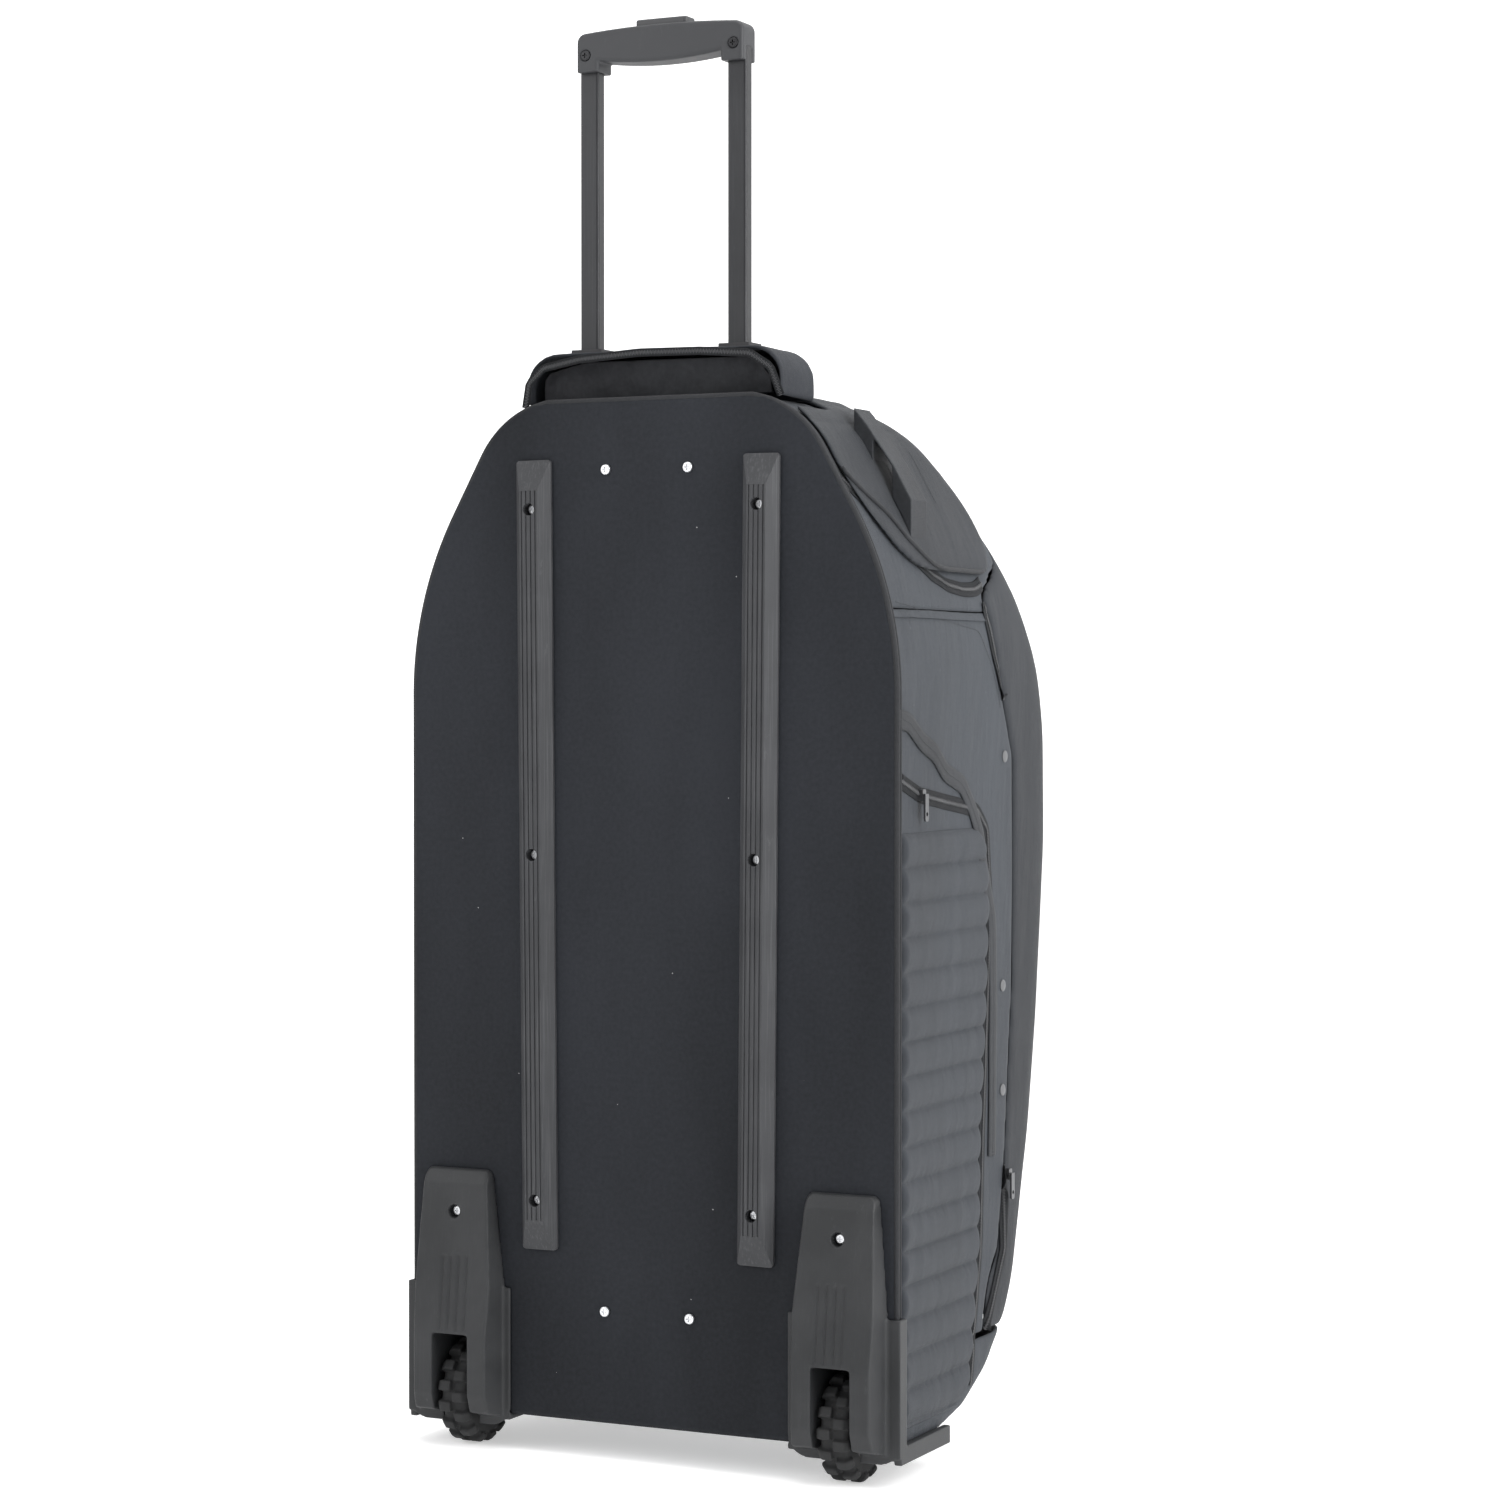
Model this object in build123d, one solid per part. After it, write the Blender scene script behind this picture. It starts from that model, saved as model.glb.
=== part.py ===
"""Wheeled hockey equipment bag, standing on its wheels with the pull handle raised.

X runs across the bag, +Y towards its front, +Z up. Lengths are in millimetres.
The origin is on the ground, under the middle of the bag.
"""
import os
from math import atan, cos, degrees, pi, radians, sin, sqrt, tan

from build123d import *

os.makedirs("parts", exist_ok=True)

# Overall sizes
BAG_HALF = 262.0          # half the width over the base panel
BAG_TOP = 1026.0          # top edge of the base panel
BAG_FOOT = 36.0           # underside of the wheel end
BAG_DEPTH = 438.0         # base panel to the fullest point of the front

# Outline of the base panel
SHOULDER_Z = 835.0        # where the side turns in to the shoulder
CROWN_HALF = 156.0        # where the shoulder turns in to the top edge
SHOULDER_R = 360.0
CROWN_R = 100.0
FOOT_R = 24.0

# Side profile of the soft shell: height, and depth of its front there
PROFILE = (
    (BAG_FOOT, 160.0), (48.0, 222.0), (76.0, 280.0), (112.0, 326.0), (160.0, 354.0),
    (220.0, 374.0), (300.0, 394.0), (430.0, 420.0), (585.0, BAG_DEPTH), (700.0, 436.0),
    (775.0, 420.0), (850.0, 386.0), (910.0, 352.0), (960.0, 320.0), (1000.0, 280.0),
    (BAG_TOP - 4.0, 220.0),
)

# Soft shell
SIDE_INSET = 4.0          # the cloth sides stand this far inside the base panel
CLOTH = 6.0               # cloth with its foam
FRONT_R = 70.0            # roundness of the long front corners
GAP = 0.6                 # between soft pieces that part along a zip

# Stiff base
SKIN = 2.0
BOARD = 5.0
BOARD_GAP = 3.5           # between the board's edge and the cloth wall
PIPING_R = 3.2

# Slide rails
RAIL_LENGTH = 768.0
RAIL_WIDTH = 38.0
RAIL_TOP = 20.0
RAIL_HEIGHT = 14.0
RAIL_RAMP = 30.0
RAIL_Z = 200.0
RAIL_X_LOW = 116.5
RAIL_X_HIGH = 123.0
RAIL_RIBS = 4
RAIL_SCREWS_UP = (49.0, 385.0, 720.0)
RECESS_R = 6.0

# Screws
SCREW_R = 2.0
HEAD_R = 5.0
HEAD_H = 3.0
NUT_R = 7.0
NUT_H = 2.5
RAIL_FLOOR = 3.0          # plastic left under a rail screw's head

# Pull handle
TUBE_X = 80.0
TUBE_Y = 39.0             # behind the outer face of the base panel
TUBE_W = 20.0
TUBE_D = 14.0
TUBE_WALL = 1.5
SLEEVE_CLEAR = 0.5
SLEEVE_WALL = 1.5
SLEEVE_LOW = 132.0
SLEEVE_HIGH = 1008.0
TUBE_LOW = 660.0
GRIP_LOW = 1345.0
GRIP_TOP = 1386.0
GRIP_HALF = 90.0
GRIP_DEPTH = 30.0
POST_W = 24.0
BAR_LOW = 1353.0
BUTTON_HALF = 28.0
BUTTON_W = 20.0
BUTTON_PROUD = 6.0
BUTTON_TRAVEL = 5.0
HANDLE_TRAVEL = 255.0

# Hood that the grip folds down to
HOOD_HALF = 138.0
HOOD_TOP = 1072.0
HOOD_BACK = 10.0
HOOD_FRONT = 84.0
HOOD_R = 32.0
HOOD_WALL = 4.0
COLLAR_W = 5.0
COLLAR_H = 4.0

# Wheels
WHEEL_R = 52.0
WHEEL_W = 34.0
WHEEL_X = 205.0
WHEEL_Y = 27.0
TREAD = 6.0
HUB_R = 30.0
BUSH_R = 7.0
AXLE_R = 4.0
RUN_CLEAR = 0.05
KNOBS = 15
WELL_CLEAR = 6.0
WELL_SIDE = 3.0

# Wheel housings
HOUSE_IN = 150.0
HOUSE_OUT = 266.0
HOUSE_WALL = 3.0
HOUSE_SHOULDER = 160.0
HOUSE_TOP = 275.0
HUMP_HALF = 34.0
HUMP_SPREAD = 14.0
HUMP_LOW_D = 28.0
HUMP_HIGH_D = 12.0
HOUSE_SCREW_Z = 233.0
WING_DEPTH = 14.0
SHOE_DEPTH = 118.0
SHOE_H = 12.0
GROOVES = 4
GROOVE_W = 3.4
GROOVE_PITCH = 9.0
GROOVE_LOW = 118.0
GROOVE_HIGH = 190.0

# Front lid, hinged along its foot
LID_HINGE_Z = 112.0
LID_FLANGE = 100.0
LID_SEAM = ((278.0, 271.0), (298.0, 450.0), (298.0, 680.0), (262.0, 760.0),
            (250.0, 838.0), (312.0, 872.0))

# Top flap, hinged along its front edge
FLAP_PROUD = 6.0
FLAP_BACK = 14.0
FLAP_FRONT = 288.0
FLAP_END_Z = 860.0
FLAP_BACK_R = 110.0
FLAP_FRONT_R = 34.0
FLAP_LAP = 16.0
FLAP_HOOD_GAP = 6.0
FLAP_HINGE_Z = 992.0
FLAP_STEPS = (3, 6, 10, 14, 19, 25, 32, 40, 50, 60, 75)   # degrees open, cleared in turn
SIDE_SEAM_Z = 820.0

# Webbing handle on the top flap
STRAP_IN = 172.0
STRAP_OUT = 232.0
STRAP_BACK = 100.0
STRAP_W = 38.0
STRAP_T = 3.0
STRAP_RISE = 16.0
STRAP_FOOT = 20.0

# Quilted side pads
PAD = ((17.0, 52.0), (17.0, 611.0), (200.0, 611.0), (222.0, 590.0), (228.0, 540.0),
       (220.0, 430.0), (207.0, 313.0), (203.0, 196.0), (180.0, 76.0), (150.0, 52.0))
PAD_PROUD = 5.0

# Zip sliders and their pulls
SLIDER_L = 11.0
SLIDER_W = 8.0
SLIDER_H = 5.0
PULL_L = 26.0
PULL_W = 8.0
PULL_T = 2.0
PULL_HOLE_R = 2.0
PULL_CLEAR = 0.8
PULL_HEEL = 1.2
POCKET_SLIDER = (59.0, 646.0)
MAIN_SLIDER = (278.0, 262.0)

# Stand feet
STAND_X = 150.0
STAND_Y = 250.0
STAND_W = 40.0
STAND_D = 36.0

CLEAR = 0.3
BASE_Y = (HUMP_LOW_D - BAG_DEPTH) / 2

parts = {}


def mirrored(shape):
    return mirror(shape, about=Plane.YZ)


def add_pair(name, right):
    parts[name + "_right"] = right
    parts[name + "_left"] = mirrored(right)


def box(x0, x1, y0, y1, z0, z1):
    centre = Pos((x0 + x1) / 2, (y0 + y1) / 2, (z0 + z1) / 2)
    return centre * Box(abs(x1 - x0), abs(y1 - y0), abs(z1 - z0))


def rod_x(x0, x1, y, z, radius):
    turned = Rotation(0, 90, 0) * Cylinder(radius, abs(x1 - x0))
    return Pos((x0 + x1) / 2, y, z) * turned


def rod_y(x, y0, y1, z, radius):
    turned = Rotation(90, 0, 0) * Cylinder(radius, abs(y1 - y0))
    return Pos(x, (y0 + y1) / 2, z) * turned


def half_width(z):
    """Half the base panel's width at a height, with both shoulder bends."""
    tilt = atan((BAG_HALF - CROWN_HALF) / (BAG_TOP - SHOULDER_Z))
    low_run = SHOULDER_R * tan(tilt / 2)
    high_turn = pi / 2 - tilt
    high_run = CROWN_R * tan(high_turn / 2)
    if z <= SHOULDER_Z - low_run:
        return BAG_HALF
    if z <= SHOULDER_Z + low_run * cos(tilt):
        rise = z - (SHOULDER_Z - low_run)
        return BAG_HALF - SHOULDER_R + sqrt(SHOULDER_R**2 - rise**2)
    if z <= BAG_TOP - high_run * cos(tilt):
        return BAG_HALF - (z - SHOULDER_Z) * tan(tilt)
    rise = CROWN_R - (BAG_TOP - z)
    return CROWN_HALF - high_run + sqrt(max(CROWN_R**2 - rise**2, 0))


def base_outline():
    """Outline of the base panel, drawn in XZ and standing at y = 0."""
    with BuildSketch() as sketch:
        with BuildLine():
            Polyline((-BAG_HALF, BAG_FOOT), (BAG_HALF, BAG_FOOT), (BAG_HALF, SHOULDER_Z),
                     (CROWN_HALF, BAG_TOP), (-CROWN_HALF, BAG_TOP), (-BAG_HALF, SHOULDER_Z),
                     close=True)
        make_face()
        fillet([v for v in sketch.vertices() if v.Y < BAG_FOOT + 1], FOOT_R)
        fillet([v for v in sketch.vertices() if abs(v.Y - SHOULDER_Z) < 1], SHOULDER_R)
        high = [v for v in sketch.vertices() if abs(v.Y - BAG_TOP) < 1]
        fillet([v for v in high if abs(v.X) > CROWN_HALF - 1], CROWN_R)
    return sketch.sketch


def panel(low, high, inset=0.0):
    """A slice of the base between two depths, smaller all round by inset."""
    outline = base_outline()
    if inset:
        outline = offset(outline, -inset)
    return extrude(Plane.XZ * outline, amount=low - high).moved(Pos(0, low, 0))


def section(level, z, depth, shift):
    """Level cut through the bag, placed at z: square at the base, round at the front.

    The inner cut runs out through the back, where the stiff base closes the bag.
    """
    half = half_width(level) - SIDE_INSET - shift
    back = 0 if shift > 0 else SKIN
    front = depth - shift
    turn = min(FRONT_R, half - 4) - shift
    with BuildSketch(Plane.XY.offset(z)) as sketch:
        with BuildLine():
            Line((half - turn, front), (turn - half, front))
            RadiusArc((turn - half, front), (-half, front - turn), -turn)
            Polyline((-half, front - turn), (-half, back), (half, back), (half, front - turn))
            RadiusArc((half, front - turn), (half - turn, front), -turn)
        make_face()
    return sketch.sketch


def soft_body(shift=0.0):
    """The whole soft shell as one solid, made smaller all round by shift."""
    cuts = []
    for level, depth in PROFILE:
        z = min(max(level, PROFILE[0][0] + shift), PROFILE[-1][0] - shift)
        if shift < 0 and level == PROFILE[0][0]:
            z = level + shift
        if shift < 0 and level == PROFILE[-1][0]:
            z = level - shift
        cuts.append(section(level, z, depth, shift))
    return loft(cuts, ruled=True)


def shell_between(outside, inside):
    return soft_body(-outside) - soft_body(-inside)


def across(points, clearance=0.0):
    """A YZ outline carried across the whole width."""
    with BuildSketch() as sketch:
        with BuildLine():
            Polyline(*points, close=True)
        make_face()
    face = sketch.sketch
    if clearance:
        face = offset(face, clearance)
    return extrude(Plane.YZ * face, amount=BAG_HALF + 60, both=True)


def depth_at(z):
    for (low, near), (high, far) in zip(PROFILE, PROFILE[1:]):
        if low <= z <= high:
            return near + (far - near) * (z - low) / (high - low)
    return PROFILE[-1][1]


def flap_outline(lap):
    """Side view of the top flap, or of the mouth that lies lap inside it."""
    back, front, low = FLAP_BACK + lap, FLAP_FRONT - lap, FLAP_END_Z + lap
    with BuildSketch() as sketch:
        with BuildLine():
            Polyline((back, BAG_TOP + 60), (back, low), (front, low), (front, BAG_TOP + 60),
                     close=True)
        make_face()
        low_back = [v for v in sketch.vertices() if v.Y < low + 1 and v.X < back + 1]
        fillet(low_back, FLAP_BACK_R - lap)
        low_front = [v for v in sketch.vertices() if v.Y < low + 1 and v.X > front - 1]
        fillet(low_front, FLAP_FRONT_R - lap)
    zone = extrude(Plane.YZ * sketch.sketch, amount=BAG_HALF + 60, both=True)
    hood_side = HOOD_HALF + FLAP_HOOD_GAP + lap
    hood_front = HOOD_FRONT + FLAP_HOOD_GAP + lap
    return zone - box(-hood_side, hood_side, -50, hood_front, 900, BAG_TOP + 80)


def well_space():
    """The room that a wheel takes out of the bag's corner, right side."""
    half = WHEEL_W / 2 + WELL_SIDE + HOUSE_WALL
    deep = WHEEL_Y + WHEEL_R + WELL_CLEAR + HOUSE_WALL
    high = WHEEL_R * 2 + WELL_CLEAR + HOUSE_WALL + 4
    return box(WHEEL_X - half, WHEEL_X + half, -60, deep, -10, high)


def both_sides(shape):
    return shape + mirrored(shape)


# Soft shell, cut into its sewn panels
wall = soft_body() - soft_body(CLOTH)
hinge_y = depth_at(LID_HINGE_Z)
flange_arc = []
for step in range(6):
    turn = radians(50.0 * step / 5)
    flange_arc.append((hinge_y - LID_FLANGE * cos(turn), LID_HINGE_Z + LID_FLANGE * sin(turn)))
lid_points = [*flange_arc, *LID_SEAM, (LID_SEAM[-1][0], BAG_TOP + 60), (520.0, BAG_TOP + 60),
              (520.0, LID_HINGE_Z)]
parts["front_lid"] = wall & across(lid_points)
fixed = wall - across(lid_points, GAP) - flap_outline(FLAP_LAP)
fixed = fixed - both_sides(well_space())
wide = BAG_HALF + 40
slot_w = TUBE_W / 2 + SLEEVE_CLEAR + SLEEVE_WALL
slot_d = TUBE_D / 2 + SLEEVE_CLEAR + SLEEVE_WALL
tube_slot = box(TUBE_X - slot_w, TUBE_X + slot_w, TUBE_Y - slot_d, TUBE_Y + slot_d, 900, 1100)
parts["bottom_panel"] = fixed & box(-wide, wide, -10, 520, 0, LID_HINGE_Z)
parts["top_panel"] = (fixed & box(-wide, wide, -10, 520, SIDE_SEAM_Z, 1100)) - both_sides(tube_slot)
add_pair("side_panel", fixed & box(40, wide, -10, 520, LID_HINGE_Z, SIDE_SEAM_Z))

# Stiff base with its cloth cover and piping
well = both_sides(well_space())
parts["base_panel"] = panel(0, SKIN) - well
parts["base_board"] = panel(SKIN, SKIN + BOARD, SIDE_INSET + CLOTH + BOARD_GAP) - well

# Top flap and its webbing handle
flap = shell_between(FLAP_PROUD, GAP) & flap_outline(0)
flap_hinge = Pos(0, FLAP_FRONT, FLAP_HINGE_Z)
for lifted in FLAP_STEPS:
    under = flap_hinge * Rotation(lifted, 0, 0) * flap_hinge.inverse() * soft_body(-CLEAR)
    flap -= under
parts["top_flap"] = flap
lift = FLAP_PROUD + STRAP_RISE
strap_zone = box(STRAP_IN, STRAP_OUT, STRAP_BACK, STRAP_BACK + STRAP_W, 880, 1100)
loop = shell_between(lift + STRAP_T, lift) & strap_zone
feet = shell_between(lift + STRAP_T, FLAP_PROUD)
end_in = box(STRAP_IN, STRAP_IN + STRAP_FOOT, STRAP_BACK, STRAP_BACK + STRAP_W, 880, 1100)
end_out = box(STRAP_OUT - STRAP_FOOT, STRAP_OUT, STRAP_BACK, STRAP_BACK + STRAP_W, 880, 1100)
parts["carry_strap"] = loop + (feet & end_in) + (feet & end_out)


def hood():
    """Soft cover over the tube mouths, open at the back, with a slot for each tube."""
    low = BAG_TOP - SIDE_INSET

    def block(inset, y0, y1):
        with BuildSketch() as sketch:
            with Locations((0, (low + HOOD_TOP) / 2 - inset / 2)):
                Rectangle(2 * (HOOD_HALF - inset), HOOD_TOP - low - inset)
            top = [v for v in sketch.vertices() if v.Y > low + 9]
            fillet(top, HOOD_R - inset)
        return extrude(Plane.XZ * sketch.sketch, amount=y0 - y1).moved(Pos(0, y0, 0))

    shape = block(0, HOOD_BACK, HOOD_FRONT)
    return shape - block(HOOD_WALL, HOOD_BACK - 1, HOOD_FRONT - HOOD_WALL) - both_sides(tube_slot)


parts["handle_hood"] = hood() - soft_body()


def rect_tube(half_w, half_d, thick, low, high, x=TUBE_X):
    outer = box(x - half_w, x + half_w, TUBE_Y - half_d, TUBE_Y + half_d, low, high)
    inner = box(x - half_w + thick, x + half_w - thick, TUBE_Y - half_d + thick,
                TUBE_Y + half_d - thick, low - 1, high + 1)
    upright = [edge for edge in outer.edges() if abs((edge % 0.5).Z) > 0.9]
    return fillet(upright, 2.5) - inner


# Pull handle: fixed sleeves and brackets, sliding tubes, grip and button
add_pair("tube_sleeve", rect_tube(slot_w, slot_d, SLEEVE_WALL, SLEEVE_LOW, SLEEVE_HIGH))
add_pair("tube", rect_tube(TUBE_W / 2, TUBE_D / 2, TUBE_WALL, TUBE_LOW, GRIP_LOW + 14))
collar = rect_tube(slot_w + COLLAR_W, slot_d + COLLAR_W, COLLAR_W + 1, HOOD_TOP, HOOD_TOP + COLLAR_H)
parts["tube_collars"] = both_sides(collar)
frame_y = SKIN + BOARD
FRAME_SCREWS = ((44.3, 957.0), (45.9, 144.5))


def bracket(low, high, screw_x, screw_z):
    shape = box(-TUBE_X - 24, TUBE_X + 24, frame_y, TUBE_Y + slot_d + 3, low, high)
    sleeve = box(TUBE_X - slot_w, TUBE_X + slot_w, TUBE_Y - slot_d, TUBE_Y + slot_d, 0, 1200)
    window = box(-TUBE_X + 22, TUBE_X - 22, frame_y + 8, 200, low - 1, high + 1)
    shape = shape - both_sides(sleeve) - window
    return shape - both_sides(rod_y(screw_x, 0, 60, screw_z, SCREW_R))


parts["handle_bracket_top"] = bracket(936, 978, *FRAME_SCREWS[0])
parts["handle_bracket_foot"] = bracket(124, 166, *FRAME_SCREWS[1])


def pan_screw(x, z, seat, tip):
    """Cross-head screw facing backwards, with its head resting at y = seat."""
    head = rod_y(x, seat - HEAD_H, seat, z, HEAD_R)
    head = fillet(head.edges().filter_by(GeomType.CIRCLE).sort_by(Axis.Y)[0], 1.4)
    cross = box(x - 2.6, x + 2.6, seat - HEAD_H - 1, seat - HEAD_H + 1.6, z - 0.6, z + 0.6)
    cross += box(x - 0.6, x + 0.6, seat - HEAD_H - 1, seat - HEAD_H + 1.6, z - 2.6, z + 2.6)
    return head + rod_y(x, seat - 0.5, tip, z, SCREW_R) - cross


def tee_nut(x, z):
    return rod_y(x, frame_y, frame_y + NUT_H, z, NUT_R) - rod_y(x, 0, 60, z, SCREW_R)


frame_screws = [pan_screw(x, z, 0, frame_y + 7.5) for x, z in FRAME_SCREWS]
parts["handle_frame_screws"] = Compound([*frame_screws, *[mirrored(s) for s in frame_screws]])


def grip():
    """Moulded grip: two posts joined by a bar that is fuller in the middle."""
    with BuildSketch() as sketch:
        with BuildLine():
            Polyline((-GRIP_HALF, GRIP_TOP - 4), (-GRIP_HALF, GRIP_LOW), (POST_W - GRIP_HALF, GRIP_LOW),
                     (POST_W - GRIP_HALF, BAR_LOW + 2))
            ThreePointArc((POST_W - GRIP_HALF, BAR_LOW + 2), (0, BAR_LOW - 3),
                          (GRIP_HALF - POST_W, BAR_LOW + 2))
            Polyline((GRIP_HALF - POST_W, BAR_LOW + 2), (GRIP_HALF - POST_W, GRIP_LOW),
                     (GRIP_HALF, GRIP_LOW), (GRIP_HALF, GRIP_TOP - 4))
            ThreePointArc((GRIP_HALF, GRIP_TOP - 4), (0, GRIP_TOP), (-GRIP_HALF, GRIP_TOP - 4))
        make_face()
        high = [v for v in sketch.vertices() if v.Y > GRIP_TOP - 5]
        fillet(high, 9)
    front = TUBE_Y + GRIP_DEPTH / 2
    shape = extrude(Plane.XZ * sketch.sketch, amount=GRIP_DEPTH).moved(Pos(0, front, 0))
    shape = fillet([e for e in shape.edges() if abs((e % 0.5).Y) < 0.1 and (e @ 0.5).Z > GRIP_LOW + 1
                    and e.length > 4], 3.5)
    return shape


LINK_Z = GRIP_TOP - 14
socket = box(TUBE_X - TUBE_W / 2, TUBE_X + TUBE_W / 2, TUBE_Y - TUBE_D / 2, TUBE_Y + TUBE_D / 2,
             GRIP_LOW - 1, GRIP_LOW + 14)
link_room = box(-84.0, 84.0, TUBE_Y - 7, TUBE_Y + 7, GRIP_LOW + 14, LINK_Z + 4.5)
button_room = box(-BUTTON_HALF - CLEAR, BUTTON_HALF + CLEAR, TUBE_Y - BUTTON_W / 2 - CLEAR,
                  TUBE_Y + BUTTON_W / 2 + CLEAR, LINK_Z - 2, GRIP_TOP + 9)
parts["grip"] = grip() - both_sides(socket) - link_room - button_room
button = box(-BUTTON_HALF, BUTTON_HALF, TUBE_Y - BUTTON_W / 2, TUBE_Y + BUTTON_W / 2,
             LINK_Z + 4, GRIP_TOP + BUTTON_PROUD)
button = fillet([e for e in button.edges() if abs((e % 0.5).Z) > 0.9], 4)
parts["grip_button"] = fillet(button.faces().sort_by(Axis.Z)[-1].edges(), 1.8)
link = box(-82.0, 82.0, TUBE_Y - 5, TUBE_Y + 5, LINK_Z, LINK_Z + 4)
lock_rod = Pos(TUBE_X, TUBE_Y, (LINK_Z + TUBE_LOW + 10) / 2) * Cylinder(2.5, LINK_Z - TUBE_LOW - 10)
parts["lock_link"] = link + both_sides(lock_rod)
SPRING_LOW = GRIP_LOW + 14
coil = Cylinder(4.0, LINK_Z - SPRING_LOW) - Cylinder(3.0, LINK_Z)
parts["button_springs"] = both_sides(Pos(40, TUBE_Y, (LINK_Z + SPRING_LOW) / 2) * coil)
grip_face = TUBE_Y - GRIP_DEPTH / 2
GRIP_SCREW_Z = 1361.0
grip_screw = pan_screw(TUBE_X, GRIP_SCREW_Z, grip_face + 2, grip_face + 7.5)
parts["grip"] -= both_sides(rod_y(TUBE_X, grip_face - 5, grip_face + 2, GRIP_SCREW_Z, HEAD_R + 0.5))
parts["grip"] -= both_sides(rod_y(TUBE_X, grip_face, grip_face + 8, GRIP_SCREW_Z, SCREW_R))
parts["grip_screws"] = both_sides(grip_screw)


def rail():
    """Slide rail: ribbed top, sloping flanks and ramped ends, drawn upright."""
    half, top = RAIL_WIDTH / 2, RAIL_TOP / 2
    with BuildSketch() as cross:
        with BuildLine():
            Polyline((-half, 0), (-half, -3), (-top, -RAIL_HEIGHT), (top, -RAIL_HEIGHT),
                     (half, -3), (half, 0), close=True)
        make_face()
    bar = extrude(cross.sketch, amount=RAIL_LENGTH)
    with BuildSketch() as side:
        with BuildLine():
            Polyline((0, 0), (-3, 0), (-RAIL_HEIGHT, RAIL_RAMP), (-RAIL_HEIGHT, RAIL_LENGTH - RAIL_RAMP),
                     (-3, RAIL_LENGTH), (0, RAIL_LENGTH), close=True)
        make_face()
    bar = bar & extrude(Plane.YZ * side.sketch, amount=RAIL_WIDTH, both=True)
    corners = [e for e in bar.edges() if abs((e % 0.5).Y) > 0.9 and e.length < 4]
    bar = fillet(corners, 4)
    pitch = RAIL_TOP / RAIL_RIBS
    for index in range(RAIL_RIBS):
        x = (index + 0.5) * pitch - top
        bar -= box(x - 0.7, x + 0.7, -RAIL_HEIGHT - 1, 0.9 - RAIL_HEIGHT, RAIL_RAMP, RAIL_LENGTH - RAIL_RAMP)
    for up in RAIL_SCREWS_UP:
        bar -= rod_y(0, -40, -RAIL_FLOOR, up, RECESS_R)
        bar -= rod_y(0, -40, 10, up, SCREW_R)
    return bar


LEAN = degrees(atan((RAIL_X_HIGH - RAIL_X_LOW) / RAIL_LENGTH))
add_pair("rail", Pos(RAIL_X_LOW, 0, RAIL_Z) * Rotation(0, LEAN, 0) * rail())
rail_points = []
for up in RAIL_SCREWS_UP:
    rail_points.append((RAIL_X_LOW + up * sin(radians(LEAN)), RAIL_Z + up * cos(radians(LEAN))))
rail_screws = [pan_screw(x, z, -RAIL_FLOOR, frame_y + NUT_H) for x, z in rail_points]
parts["rail_screws"] = Compound([*rail_screws, *[mirrored(s) for s in rail_screws]])


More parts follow.
